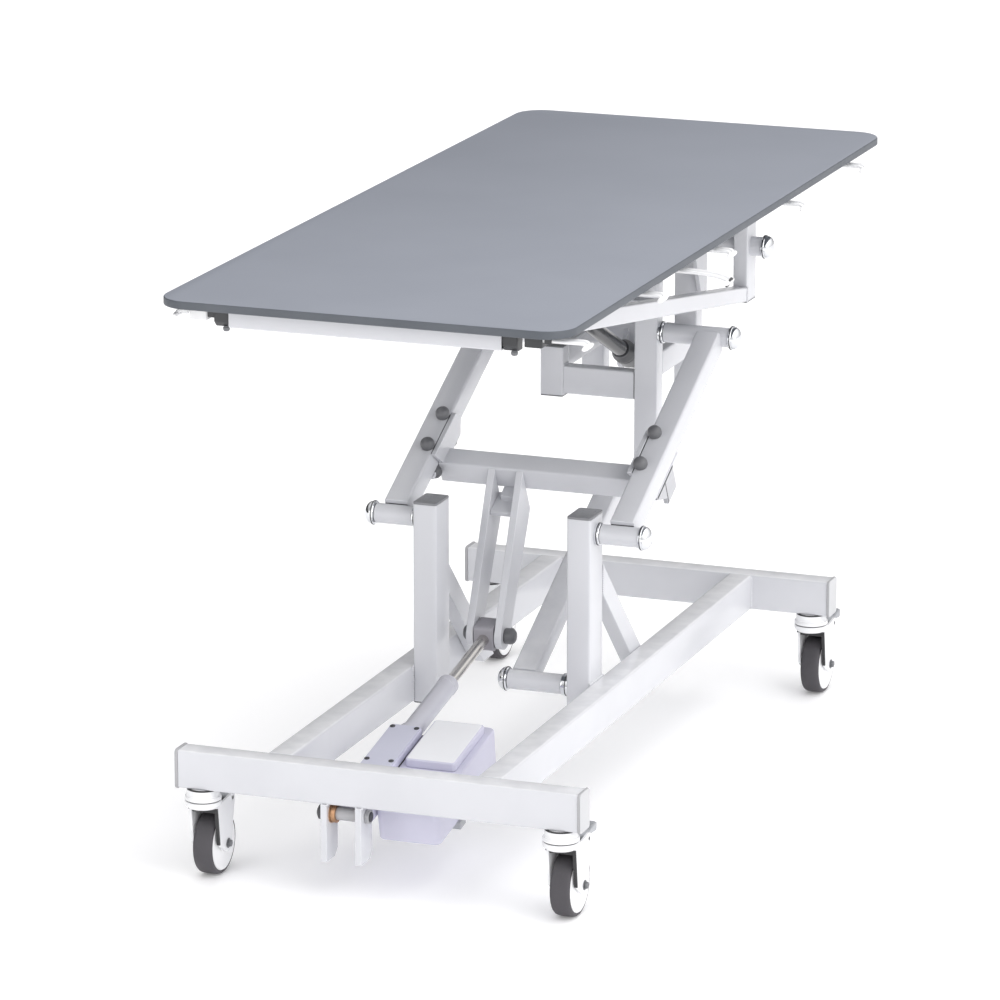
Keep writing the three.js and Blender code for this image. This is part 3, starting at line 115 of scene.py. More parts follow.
floor_mesh = bpy.data.meshes.new("floor")
floor_mesh.from_pydata(
    [(x * FLOOR_HALF, y * FLOOR_HALF, 0.0) for x, y in ((-1, -1), (1, -1), (1, 1), (-1, 1))],
    [],
    [(0, 1, 2, 3)],
)
floor_material = bpy.data.materials.new("floor")
floor_material.use_nodes = True
floor_shader = floor_material.node_tree.nodes["Principled BSDF"]
floor_shader.inputs["Base Color"].default_value = FLOOR_COLOUR
floor_shader.inputs["Roughness"].default_value = FLOOR_ROUGHNESS
floor_shader.inputs["Emission Color"].default_value = FLOOR_COLOUR
floor_shader.inputs["Emission Strength"].default_value = FLOOR_GLOW
floor_mesh.materials.append(floor_material)
floor = bpy.data.objects.new("floor", floor_mesh)
bpy.context.scene.collection.objects.link(floor)

for light_name, (light_place, light_size, light_power) in SOFT_BOXES.items():
    light_data = bpy.data.lights.new(light_name, "AREA")
    light_data.size = light_size
    light_data.energy = light_power
    light = bpy.data.objects.new(light_name, light_data)
    light.location = light_place
    light.rotation_mode = "QUATERNION"
    light.rotation_quaternion = (TABLE_MIDDLE - Vector(light_place)).to_track_quat("-Z", "Y")
    bpy.context.scene.collection.objects.link(light)

surround = bpy.data.worlds.new("surround")
surround.use_nodes = True
sky = surround.node_tree
looking = add_node(sky, "ShaderNodeTexCoord").outputs["Object"]
towards = add_node(sky, "ShaderNodeVectorMath", {0: looking, 1: BRIGHT_SIDE}, operation="DOT_PRODUCT")
glow = add_node(
    sky,
    "ShaderNodeMapRange",
    {
        "Value": towards.outputs["Value"],
        "From Min": SURROUND_START,
        "To Min": SURROUND_DIM,
        "To Max": SURROUND_BRIGHT,
    },
)
sky.nodes["Background"].inputs["Color"].default_value = SURROUND_TINT
sky.links.new(glow.outputs[0], sky.nodes["Background"].inputs["Strength"])
bpy.context.scene.world = surround
bpy.context.scene.view_settings.view_transform = "Standard"

# Base beams: two lengths of 60 x 40 mm steel tube across the ends, powder coated white.
# The castors screw up into them, and a grey plastic cap closes each end; its rim is a darker grey than its
# face, painted shade on the cap's sides.
TUBE_WALL = 0.003
TUBE_CORNER = 0.004
CAP_THICKNESS = 0.0038
CAP_FACE = 0.0012
CAP_OVERHANG = 0.0030
CAP_CORNER = 0.006
SHARP_ANGLE = math.radians(32)
FACE_GAP = 0.0003
TO_FRAME = Matrix.Translation((MIDDLE_X, 0, 0))


def joint(name):
    return next(made for made in frame["joints"] if made["name"] == name)


def joint_place(name):
    """A joint's place, measured from the table's middle plane."""
    return Vector(joint(name)["pos_m"]) - TO_FRAME.translation


def joint_axis(name):
    return Vector(joint(name)["axis"]).normalized()


def node_box(node):
    """A node's box, measured from the table's middle plane."""
    return [Vector(corner) - TO_FRAME.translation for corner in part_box(node)]


def middle_of(low, high):
    return (low + high) / 2


def effect_group(name, inputs, outputs):
    """An empty shader group with named values in and out, and its input node."""
    group = bpy.data.node_groups.new(name, "ShaderNodeTree")
    for way, labels in (("INPUT", inputs), ("OUTPUT", outputs)):
        for label in labels:
            group.interface.new_socket(label, in_out=way, socket_type="NodeSocketFloat")
    return group, add_node(group, "NodeGroupInput")


def noise(tree, place, scale, detail):
    return add_node(
        tree, "ShaderNodeTexNoise", {"Vector": place, "Scale": scale, "Detail": detail}
    ).outputs[0]


def share_of(tree, value, nought, full):
    """0 where the value is at nought, 1 where it is at full."""
    return add_node(
        tree, "ShaderNodeMapRange", {"Value": value, "From Min": nought, "From Max": full}
    ).outputs[0]


def worked_out(tree, operation, first, second):
    return add_node(tree, "ShaderNodeMath", {0: first, 1: second}, operation=operation).outputs[0]


def surface_grain():
    """Fine speckle, broad mottling and a height, on the piece's own coordinates."""
    group, sizes = effect_group(
        "surface_grain", ("Grain Scale", "Mottle Scale"), ("Speckle", "Mottle", "Height")
    )
    place = add_node(group, "ShaderNodeTexCoord").outputs["Object"]
    fine = noise(group, place, sizes.outputs["Grain Scale"], 3.0)
    broad = noise(group, place, sizes.outputs["Mottle Scale"], 4.0)
    steeper = share_of(group, broad, 0.35, 0.65)
    add_node(group, "NodeGroupOutput", {"Speckle": fine, "Mottle": steeper, "Height": fine})
    return group


def edge_wear():
    """Where an edge has been handled: the shading normal rounded over a small radius."""
    group, sizes = effect_group("edge_wear", ("Radius",), ("Mask",))
    rounded = add_node(group, "ShaderNodeBevel", {"Radius": sizes.outputs["Radius"]}, samples=4)
    facing = add_node(group, "ShaderNodeNewGeometry")
    alike = add_node(
        group,
        "ShaderNodeVectorMath",
        {0: rounded.outputs["Normal"], 1: facing.outputs["Normal"]},
        operation="DOT_PRODUCT",
    )
    bent = share_of(group, alike.outputs["Value"], 0.995, 0.85)
    patchy = noise(group, add_node(group, "ShaderNodeTexCoord").outputs["Object"], 60.0, 3.0)
    add_node(group, "NodeGroupOutput", {"Mask": worked_out(group, "MULTIPLY", bent, patchy)})
    return group


def dust_and_top_highlight():
    """Pale dust low down on faces that look up; the same mask also paints a highlight there, as much as a
    finish asks for.
    """
    group, sizes = effect_group("dust_and_top_highlight", ("Height",), ("Mask",))
    place = add_node(group, "ShaderNodeTexCoord").outputs["Object"]
    level = add_node(group, "ShaderNodeSeparateXYZ", {0: place}).outputs["Z"]
    low = share_of(group, level, sizes.outputs["Height"], 0.0)
    normal = add_node(group, "ShaderNodeNewGeometry").outputs["Normal"]
    upward = share_of(group, add_node(group, "ShaderNodeSeparateXYZ", {0: normal}).outputs["Z"], 0.5, 1.0)
    low_and_upward = worked_out(group, "MULTIPLY", low, upward)
    clouds = noise(group, place, 35.0, 5.0)
    add_node(group, "NodeGroupOutput", {"Mask": worked_out(group, "MULTIPLY", low_and_upward, clouds)})
    return group


SHARED_EFFECTS = {made.name: made for made in (surface_grain(), edge_wear(), dust_and_top_highlight())}
DUST_AND_HIGHLIGHT_COLOUR = (0.93, 0.93, 0.94, 1.0)
DUST_AND_HIGHLIGHT_HEIGHT = 0.55
WEAR_RADIUS = 0.0025


def blend(tree, share, first, second):
    """The first colour, going over to the second by a share."""
    return add_node(tree, "ShaderNodeMix", {0: share, 6: first, 7: second}, data_type="RGBA").outputs[2]


def finish(
    name, colour, shade, roughness, spread, grain, depth, metallic=0.0, worn=None, mottle=9.0, dust_and_highlight=0.06
):
    """A finish: colour mottled towards a shade, grain in roughness and relief, worn edges, and pale dust,
    which also serves as a painted highlight, low on upward faces.
    """
    material = bpy.data.materials.new(name)
    material.use_nodes = True
    tree = material.node_tree
    shader = tree.nodes["Principled BSDF"]
    shader.inputs["Metallic"].default_value = metallic

    def effect(effect_name, sizes):
        return add_node(tree, "ShaderNodeGroup", sizes, node_tree=SHARED_EFFECTS[effect_name]).outputs

    surface = effect("surface_grain", {"Grain Scale": grain, "Mottle Scale": mottle})
    tinted = blend(tree, surface["Mottle"], (*colour, 1.0), (*shade, 1.0))
    if worn:
        tinted = blend(tree, effect("edge_wear", {"Radius": WEAR_RADIUS})["Mask"], tinted, (*worn, 1.0))
    dust_and_highlight_share = worked_out(tree, "MULTIPLY", effect("dust_and_top_highlight", {"Height": DUST_AND_HIGHLIGHT_HEIGHT})["Mask"], dust_and_highlight)
    tree.links.new(blend(tree, dust_and_highlight_share, tinted, DUST_AND_HIGHLIGHT_COLOUR), shader.inputs["Base Color"])
    gloss = add_node(
        tree,
        "ShaderNodeMapRange",
        {"Value": surface["Speckle"], "To Min": roughness - spread, "To Max": roughness + spread},
    )
    tree.links.new(gloss.outputs[0], shader.inputs["Roughness"])
    relief = add_node(
        tree, "ShaderNodeBump", {"Height": surface["Height"], "Distance": depth, "Strength": 1.0}
    )
    tree.links.new(relief.outputs["Normal"], shader.inputs["Normal"])
    return material


# The white coat's large dust share paints its upward faces low down paler: a painted highlight on the
# base's top faces more than dust.
white_coat = finish(
    "white_powder_coat", (0.632, 0.638, 0.668), (0.608, 0.614, 0.644), 0.21, 0.05, 900.0, 0.00002,
    worn=(0.71, 0.715, 0.74), dust_and_highlight=1.4,
)
cap_face_grey = finish(
    "cap_face_grey", (0.54, 0.545, 0.56), (0.50, 0.505, 0.52), 0.36, 0.10, 600.0, 0.00004,
)
# A darker grey for the caps' rims, which paints shade on their sides; also the plain grey of the tail nut
# and eye.
cap_rim_grey_and_shade = finish(
    "cap_rim_grey_and_shade", (0.40, 0.40, 0.415), (0.35, 0.35, 0.365), 0.40, 0.10, 600.0, 0.00005,
    worn=(0.52, 0.52, 0.53),
)
end_cap_grey = finish(
    "end_cap_grey", (0.17, 0.175, 0.185), (0.14, 0.145, 0.155), 0.48, 0.12, 700.0, 0.00008,
)


def loft(mesh, loops, closed=False):
    """Skins loops of points, and caps the first and last unless the loops run round."""
    rings = [[mesh.verts.new(point) for point in loop] for loop in loops]
    steps = list(zip(rings, rings[1:]))
    if closed:
        steps.append((rings[-1], rings[0]))
    for near, far in steps:
        count = len(near)
        for i in range(count):
            after = (i + 1) % count
            mesh.faces.new((near[i], near[after], far[after], far[i]))
    if not closed:
        mesh.faces.new(rings[0][::-1])
        mesh.faces.new(rings[-1])


def rounded_section(width, height, radius, steps=5):
    """Corners of a rounded rectangle, anticlockwise, as pairs."""
    points = []
    for quarter, (right, up) in enumerate(((1, 1), (-1, 1), (-1, -1), (1, -1))):
        for i in range(steps + 1):
            angle = math.pi / 2 * (quarter + i / steps)
            points.append((
                right * (width / 2 - radius) + radius * math.cos(angle),
                up * (height / 2 - radius) + radius * math.sin(angle),
            ))
    return points


def square_tube(mesh, start, end, side, width, height, wall=TUBE_WALL, corner=TUBE_CORNER, hollow=True):
    """Tube or bar from start to end: width lies along side, with the cut ends lightly eased."""
    start, end = Vector(start), Vector(end)
    run = (end - start).normalized()
    across = (Vector(side) - run * run.dot(Vector(side))).normalized()
    up = run.cross(across)
    length = (end - start).length
    eased = 0.0006

    def ring(along, inset):
        section = rounded_section(width - 2 * inset, height - 2 * inset, max(corner - inset, 0.0005))
        return [start + run * along + across * u + up * v for u, v in section]

    outside = [ring(0, eased), ring(eased, 0), ring(length - eased, 0), ring(length, eased)]
    if hollow:
        loft(mesh, outside + [ring(length, wall), ring(0, wall)], closed=True)
    else:
        loft(mesh, outside)


def add_piece(name, mesh, material, body, replaced=(), bevel=0.0):
    """Turns a bmesh into a smooth-shaded piece that rides on its body."""
    bmesh.ops.recalc_face_normals(mesh, faces=mesh.faces)
    data = bpy.data.meshes.new(name)
    mesh.to_mesh(data)
    mesh.free()
    data.transform(TO_FRAME)
    data.polygons.foreach_set("use_smooth", [True] * len(data.polygons))
    data.set_sharp_from_angle(angle=SHARP_ANGLE)
    data.materials.append(material)
    piece = bpy.data.objects.new(name, data)
    bpy.context.scene.collection.objects.link(piece)
    if bevel:
        eased = piece.modifiers.new("eased_edges", "BEVEL")
        eased.width = bevel
        eased.segments = 3
        eased.limit_method = "ANGLE"
        eased.angle_limit = SHARP_ANGLE
    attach(piece, body)
    if replaced:
        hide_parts(*replaced)


def add_coated(name, mesh, body, replaced=(), bevel=0.0):
    """A piece of steel with the white powder coat."""
    add_piece(name, mesh, white_coat, body, replaced, bevel)


def add_tube(name, body, node, *shape, **kind):
    """One length of coated tube as a piece of its own, in place of its node."""
    mesh = bmesh.new()
    square_tube(mesh, *shape, **kind)
    add_coated(name, mesh, body, [node])


def span(side, near, far, middle=0.0):
    """Two places on X at one side of a middle, the lower one first."""
    return sorted((middle + side * near, middle + side * far))


beam_low, beam_high = node_box("base_rear_beam")
beam_depth = beam_high.y - beam_low.y
beam_height = beam_high.z - beam_low.z
beam_middle_z = middle_of(beam_low, beam_high).z
BEAM_ENDS = {"front": joint_place("swivel_front_left").y, "rear": joint_place("swivel_rear_left").y}
SIDES = {"left": -1, "right": 1}

for end_name, beam_y in BEAM_ENDS.items():
    add_tube(
        f"{end_name}_beam_tube", "base", f"base_{end_name}_beam",
        (beam_low.x, beam_y, beam_middle_z), (beam_high.x, beam_y, beam_middle_z), (0, 1, 0),
        beam_depth, beam_height,
    )
    # Rims darker than faces: painted shade on the sides of each cap.
    for part_name, start, thickness, overhang, material in (
        ("rims", 0.0, CAP_THICKNESS, CAP_OVERHANG, cap_rim_grey_and_shade),
        ("faces", CAP_THICKNESS, CAP_FACE, CAP_OVERHANG - 0.0004, cap_face_grey),
    ):
        caps = bmesh.new()
        for side in SIDES.values():
            square_tube(
                caps,
                (side * (beam_high.x + start), beam_y, beam_middle_z),
                (side * (beam_high.x + start + thickness), beam_y, beam_middle_z),
                (0, 1, 0),
                beam_depth + overhang,
                beam_height + overhang,
                corner=CAP_CORNER,
                hollow=False,
            )
        add_piece(f"{end_name}_beam_cap_{part_name}", caps, material, "base")

# Clevis: two thick plates welded under the front beam, with the actuator's tail between them.
# Their lower rear corners are cut off, and a bolt with bronze washers runs through both.
CLEVIS_HALF_GAP = 0.023
CLEVIS_PLATE = 0.010
CLEVIS_CHAMFER = 0.0115
WASHER_THICKNESS = 0.0022
WASHER_BORE = 0.0083
WASHER_RADIUS = 0.0155
TAIL_BOLT_RADIUS = 0.008
TAIL_HEAD_LENGTH = 0.008
TAIL_NUT_RADIUS = 0.012
lift_tail = joint_place("lift_actuator_swing")
clevis_low, clevis_high = node_box("base_front_beam")


def flat_plate(mesh, outline, low, high):
    """Plate whose outline is drawn on Y and Z, between two places on X."""
    loft(mesh, [[Vector((x, y, z)) for y, z in outline] for x in (low, high)])


def turned(mesh, centre, axis, profile, closed=False, steps=56):
    """Turned piece: profile of (place along the axis, radius)."""
    axis = Vector(axis).normalized()
    across = axis.orthogonal().normalized()
    up = axis.cross(across)
    spokes = [2 * math.pi * i / steps for i in range(steps)]
    loops = [
        [Vector(centre) + axis * along + (across * math.cos(a) + up * math.sin(a)) * radius for a in spokes]
        for along, radius in profile
    ]
    loft(mesh, loops, closed)


def add_plate(name, body, replaced, bevel, *shape):
    """One coated plate as a piece of its own."""
    mesh = bmesh.new()
    flat_plate(mesh, *shape)
    add_coated(name, mesh, body, replaced, bevel)


def add_turned(name, material, body, slot, replaced, *shape, **kind):
    """One turned part as a piece of its own."""
    mesh = bmesh.new()
    turned(mesh, *shape, **kind)
    add_piece(name, mesh, material, body, replaced)


def pipe(low, high, inner, outer):
    """Profile of a plain ring, to be turned closed."""
    return [(low, inner), (low, outer), (high, outer), (high, inner)]


def disc(along, length, radius, eased=0.0008):
    """Profile of a plain disc with eased rims."""
    return [
        (along, radius - eased),
        (along + eased, radius),
        (along + length - eased, radius),
        (along + length, radius - eased),
    ]


clevis = bmesh.new()
for side in SIDES.values():
    flat_plate(clevis, [
        (clevis_low.y, beam_low.z),
        (clevis_low.y, clevis_low.z),
        (clevis_high.y - CLEVIS_CHAMFER, clevis_low.z),
        (clevis_high.y, clevis_low.z + CLEVIS_CHAMFER),
        (clevis_high.y, beam_low.z),
    ], *span(side, CLEVIS_HALF_GAP, CLEVIS_HALF_GAP + CLEVIS_PLATE, lift_tail.x))
add_coated("tail_clevis_plates", clevis, "base", bevel=0.0009)

dark_bolt = finish(
    "dark_bolt", (0.085, 0.085, 0.09), (0.06, 0.06, 0.066), 0.42, 0.12, 500.0, 0.00005, metallic=0.6,
)
bronze = finish(
    "bronze_washer", (0.52, 0.30, 0.17), (0.40, 0.23, 0.13), 0.36, 0.10, 400.0, 0.00004, metallic=1.0,
)
bolt_low, bolt_high = node_box("lift_tail_bolt")
tail_bolt = [
    (bolt_low.x - 0.004, 0.007),
    (bolt_low.x - 0.001, 0.0118),
    (bolt_low.x + TAIL_HEAD_LENGTH, 0.0132),
    (bolt_low.x + TAIL_HEAD_LENGTH, TAIL_BOLT_RADIUS),
    (bolt_high.x - 0.001, TAIL_BOLT_RADIUS),
    (bolt_high.x, TAIL_BOLT_RADIUS - 0.001),
]
add_turned("tail_bolt", dark_bolt, "base", "bright_steel", ["lift_tail_bolt"],
           (0, lift_tail.y, lift_tail.z), (1, 0, 0), tail_bolt)
add_turned("tail_nut", cap_rim_grey_and_shade, "base", "bright_steel", (),
           (bolt_high.x - TAIL_HEAD_LENGTH, lift_tail.y, lift_tail.z), (1, 0, 0),
           disc(0, TAIL_HEAD_LENGTH - 0.0015, TAIL_NUT_RADIUS), steps=6)
washers = bmesh.new()
for side in SIDES.values():
    inner = lift_tail.x + side * (CLEVIS_HALF_GAP - WASHER_THICKNESS)
    turned(washers, (inner, lift_tail.y, lift_tail.z), (side, 0, 0),
           pipe(0.0002, WASHER_THICKNESS, WASHER_BORE, WASHER_RADIUS), closed=True)
add_piece("tail_bolt_washers", washers, bronze, "base")

# Side rails: the same tube laid lengthways between the beams, butted and welded to them.
# The coat runs over the weld beads, which stay visible as a fine ripple.
BEAD_RADIUS = 0.0021
BEAD_PITCH = 0.0034
BEAD_SEED = 7


def plain_mesh(name, points, edges, tree, sizes, material, body):
    """Runs a geometry tree over points or lines and keeps the result as a plain mesh."""
    data = bpy.data.meshes.new(name + "_places")
    data.from_pydata(points, edges, [])
    carrier = bpy.data.objects.new(name + "_places", data)
    bpy.context.scene.collection.objects.link(carrier)
    run = carrier.modifiers.new("tree", "NODES")
    run.node_group = tree
    values = {**sizes, "Finish": material}
    for socket in tree.interface.items_tree:
        if socket.in_out == "INPUT" and socket.name in values:
            run[socket.identifier] = values[socket.name]
    bpy.context.view_layer.update()
    evaluated = carrier.evaluated_get(bpy.context.evaluated_depsgraph_get())
    made = bpy.data.meshes.new_from_object(evaluated)
    made.name = name
    made.transform(TO_FRAME)
    piece = bpy.data.objects.new(name, made)
    bpy.context.scene.collection.objects.link(piece)
    carrier.modifiers.remove(run)
    bpy.data.objects.remove(carrier)
    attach(piece, body)


def geometry_tree(name, sizes):
    """An empty geometry tree with named inputs for its sizes and its finish."""
    tree = bpy.data.node_groups.new(name, "GeometryNodeTree")
    tree.interface.new_socket("Geometry", in_out="INPUT", socket_type="NodeSocketGeometry")
    for label in sizes:
        tree.interface.new_socket(label, in_out="INPUT", socket_type="NodeSocketFloat")
    tree.interface.new_socket("Finish", in_out="INPUT", socket_type="NodeSocketMaterial")
    tree.interface.new_socket("Geometry", in_out="OUTPUT", socket_type="NodeSocketGeometry")
    return tree, add_node(tree, "NodeGroupInput")


def end_tree(tree, given, geometry):
    """Every tree ends alike: instances made real, shaded smooth, and given their finish."""
    real = add_node(tree, "GeometryNodeRealizeInstances", {0: geometry})
    smooth = add_node(tree, "GeometryNodeSetShadeSmooth", {0: real.outputs[0]})
    coated = add_node(
        tree,
        "GeometryNodeSetMaterial",
        {"Geometry": smooth.outputs[0], "Material": given.outputs["Finish"]},
    )
    add_node(tree, "NodeGroupOutput", {0: coated.outputs[0]})


def weld_tree():
    """Overlapping flat drops along a seam, each a little different."""
    tree, given = geometry_tree("weld_beads", ("Bead Radius", "Bead Pitch", "Bead Seed"))
    seam = add_node(tree, "GeometryNodeMeshToCurve", {0: given.outputs["Geometry"]})
    drops = add_node(
        tree,
        "GeometryNodeResampleCurve",
        {"Curve": seam.outputs[0], "Length": given.outputs["Bead Pitch"]},
        mode="LENGTH",
    )
    drop = add_node(
        tree,
        "GeometryNodeMeshUVSphere",
        {"Segments": 8, "Rings": 5, "Radius": given.outputs["Bead Radius"]},
    )
    whole_seed = add_node(tree, "ShaderNodeMath", {0: given.outputs["Bead Seed"]}, operation="FLOOR")
    uneven = add_node(
        tree,
        "FunctionNodeRandomValue",
        {2: 0.86, 3: 1.14, "Seed": whole_seed.outputs[0]},
        data_type="FLOAT",
    )
    laid = add_node(
        tree,
        "GeometryNodeInstanceOnPoints",
        {"Points": drops.outputs[0], "Instance": drop.outputs[0], "Scale": uneven.outputs[1]},
    )
    end_tree(tree, given, laid.outputs[0])
    return tree


WELD_TREE = weld_tree()


def weld(name, seams, body):
    """Weld beads along straight seams, each given by its two ends."""
    points, edges = [], []
    for start, end in seams:
        edges.append((len(points), len(points) + 1))
        points += [tuple(start), tuple(end)]
    sizes = {"Bead Radius": BEAD_RADIUS, "Bead Pitch": BEAD_PITCH, "Bead Seed": float(BEAD_SEED)}
    plain_mesh(name, points, edges, WELD_TREE, sizes, white_coat, body)


rail_seams = []
for side_name, side in SIDES.items():
    rail_low, rail_high = node_box(f"base_rail_{side_name}")
    rail_x = middle_of(rail_low, rail_high).x
    rail_start = BEAM_ENDS["front"] + beam_depth / 2
    rail_end = BEAM_ENDS["rear"] - beam_depth / 2
    add_tube(
        f"side_rail_{side_name}", "base", f"base_rail_{side_name}",
        (rail_x, rail_start, beam_middle_z), (rail_x, rail_end, beam_middle_z), (1, 0, 0),
        rail_high.x - rail_low.x, beam_height,
    )
    for seam_y in (rail_start, rail_end):
        for x in (rail_low.x, rail_high.x):
            rail_seams.append(((x, seam_y, beam_low.z + 0.006), (x, seam_y, beam_high.z - 0.006)))
for side in SIDES.values():
    for face in (0, 1):
        plate_x = lift_tail.x + side * (CLEVIS_HALF_GAP + face * CLEVIS_PLATE)
        rail_seams.append((
            (plate_x, clevis_low.y + 0.005, beam_low.z),
            (plate_x, clevis_high.y - 0.005, beam_low.z),
        ))
weld("base_frame_welds", rail_seams, "base")

# Base posts: upright 60 x 40 mm tube on the inner faces of the rails.
# A grey plastic plug closes each top, a thin dark plate each foot, and a strut braces the post behind.
FOOT_PLATE = 0.002
STRUT_RUN = 0.245
STRUT_BAND = 0.050
dark_plug = finish(
    "dark_plug", (0.15, 0.155, 0.165), (0.115, 0.12, 0.13), 0.30, 0.10, 600.0, 0.00006,
    worn=(0.34, 0.35, 0.36),
)
plug_grey = finish(
    "plug_grey", (0.25, 0.252, 0.265), (0.205, 0.207, 0.22), 0.30, 0.10, 600.0, 0.00006,
    worn=(0.14, 0.14, 0.15),
)
post_seams = []
for side_name, side in SIDES.items():
    post_low, post_high = node_box(f"base_post_{side_name}")
    post_x, post_y, _ = middle_of(post_low, post_high)
    post_width, post_depth, _ = post_high - post_low
    add_tube(
        f"upright_{side_name}", "base", f"base_post_{side_name}",
        (post_x, post_y, post_low.z + FOOT_PLATE), (post_x, post_y, post_high.z), (1, 0, 0),
        post_width, post_depth,
    )
    plug_low, plug_high = node_box(f"post_plug_{side_name}")
    plug = bmesh.new()
    plug_rings = []
    for z, inset in (
        (plug_low.z, 0.0045),
        (post_high.z + 0.0002, 0.0035),
        (post_high.z + 0.0002, 0.0),
        (plug_high.z - 0.0014, 0.0),
        (plug_high.z - 0.0004, 0.0006),
        (plug_high.z, 0.0020),
    ):
        section = rounded_section(post_width - 2 * inset, post_depth - 2 * inset, TUBE_CORNER)
        plug_rings.append([Vector((post_x + u, post_y + v, z)) for u, v in section])
    loft(plug, plug_rings)
    add_piece(f"upright_plug_{side_name}", plug, plug_grey, "base",
              [f"post_plug_{side_name}"])
    foot = bmesh.new()
    square_tube(foot, (post_x, post_y, post_low.z), (post_x, post_y, post_low.z + FOOT_PLATE), (1, 0, 0),
                post_width, post_depth, hollow=False)
    add_piece(f"upright_foot_{side_name}", foot, end_cap_grey, "base")
    strut_low, strut_high = node_box(f"base_strut_{side_name}")
    add_plate(f"upright_strut_{side_name}", "base", [f"base_strut_{side_name}"], 0.0016, [
        (post_high.y, strut_high.z),
        (post_high.y, strut_high.z - STRUT_BAND),
        (post_high.y + STRUT_RUN - STRUT_BAND, strut_low.z),
        (post_high.y + STRUT_RUN, strut_low.z),
    ], strut_low.x, strut_high.x)
    rail_face = side * node_box("base_rail_right")[0].x
    for y in (post_low.y, post_high.y):
        post_seams.append(((rail_face, y, post_low.z + 0.004), (rail_face, y, beam_high.z)))
    post_seams.append(((rail_face, post_low.y, beam_high.z), (rail_face, post_high.y, beam_high.z)))
    for x in (strut_low.x, strut_high.x):
        post_seams.append(
            ((x, post_high.y, strut_high.z - STRUT_BAND), (x, post_high.y, strut_high.z - 0.004))
        )
weld("upright_welds", post_seams, "base")

# Pivot pins: each is turned from one bar, with a collar against its post, a bearing length
# inside the sleeve and a polished dome that keeps the sleeve on. A dark rubber ring sits behind the dome,
# and a black band round the collar is a painted dark reflection on the chrome.
COLLAR_RADIUS = 0.018
PIN_RADIUS = 0.011
DOME_RADIUS = 0.0195
DOME_LENGTH = 0.0185
DOME_RIM = 0.0055
RING_THICKNESS = 0.0016
chrome = finish(
    "polished_chrome", (0.78, 0.79, 0.81), (0.70, 0.71, 0.73), 0.10, 0.05, 300.0, 0.00001, metallic=1.0,
)
# Black rubber for the ring behind each dome and the tie's gasket; the same black also paints shade and dark
# reflection: the band round each pin collar, the castors' slits and gaps, the lines at the arms' feet and
# brackets, and the strip by the control box.
black_rubber_and_painted_shade = finish(
    "black_ring_and_painted_shade", (0.035, 0.035, 0.037), (0.025, 0.025, 0.027), 0.55, 0.12, 500.0, 0.00005,
)


def pivot_pin(node, collar, place, body):
    """A pin between its post's face and its dome, both taken from the frame."""
    low, high = node_box(node)
    outward = 1 if abs(high.x - place.x) > abs(low.x - place.x) else -1
    if node.startswith("link_pin"):
        outward = -1
    face = low.x if outward > 0 else high.x
    length = high.x - low.x
    start = (face, place.y, place.z)
    dome_start = length - DOME_LENGTH
    rim_end = dome_start + DOME_RIM
    arc = [
        (
            rim_end + (DOME_LENGTH - DOME_RIM) * math.sin(i * math.pi / 20),
            (DOME_RADIUS - 0.0008) * math.cos(i * math.pi / 20),
        )
        for i in range(1, 10)
    ]
    add_turned(f"{node}_turned", chrome, body, "chrome_pin", [node], start, (outward, 0, 0), [
        (-FACE_GAP, COLLAR_RADIUS - 0.0008),
        (0.0012, COLLAR_RADIUS),
        (collar - 0.0010, COLLAR_RADIUS),
        (collar, COLLAR_RADIUS - 0.0010),
        (collar, PIN_RADIUS),
        (dome_start, PIN_RADIUS),
        (dome_start, DOME_RADIUS - 0.0012),
        (dome_start + 0.0012, DOME_RADIUS),
        (rim_end - 0.0010, DOME_RADIUS),
        (rim_end, DOME_RADIUS - 0.0008),
        *arc,
        (length, 0.0008),
    ])
    # The band round the collar is a painted dark reflection; the ring behind the dome is rubber.
    rings = bmesh.new()
    for along in (collar * 0.42, dome_start + 0.0024):
        radius = COLLAR_RADIUS if along < collar else DOME_RADIUS
        turned(rings, start, (outward, 0, 0),
               pipe(along, along + RING_THICKNESS, radius - 0.002, radius + FACE_GAP), closed=True)
    add_piece(f"{node}_rings", rings, black_rubber_and_painted_shade, body)


arm_pivot = joint_place("lift")
link_pivot = joint_place("link_swing")
carriage_pivot = joint_place("carriage_level")
hinge_pivot = joint_place("tilt")
link_top = Vector((0, carriage_pivot.y, carriage_pivot.z - (arm_pivot.z - link_pivot.z)))
SHORT_COLLAR = 0.008
LONG_COLLAR = 0.015
for side_name in SIDES:
    pivot_pin(f"arm_pin_{side_name}", SHORT_COLLAR, arm_pivot, "base")
    pivot_pin(f"carriage_pin_{side_name}", SHORT_COLLAR, carriage_pivot, "carriage")
    pivot_pin(f"tilt_pin_{side_name}", SHORT_COLLAR, hinge_pivot, "carriage")
pivot_pin("link_pin_lower", LONG_COLLAR, link_pivot, "base")
pivot_pin("link_pin_upper", SHORT_COLLAR, link_top, "carriage")

# Castors: a pressed swivel head and fork coated white, a grey rubber tyre on a white nylon disc,
# a small axle bolt and a grey ribbed pedal behind. Black pieces paint the shade in the slit under the neck,
# the groove over the crown and the gap under the crown, on the top of the left leg and down the right leg's
# front edge.
FORK_PLATE = 0.004
FORK_INNER = 0.0195
RING_RADIUS = 0.0282
NECK_RADIUS = 0.0252
LEG_FRONT = 0.002
LEG_FOOT = 0.006
WHEEL_RADIUS = 0.050
TYRE_HALF = 0.016
PEDAL_RISE = 0.009
TYRE_THICKNESS = 0.0068
NECK_HEIGHT = 0.012
RING_HEIGHT = 0.015
AXLE_BOSS = 0.014
BRAKE_BOSS = 0.009
AXLE_RADIUS = 0.006
AXLE_WASHER = (0.0012, 0.0078)
AXLE_NUT = (0.0042, 0.0060)
PEDAL_PIN = 0.004
RIB_COUNT = 6
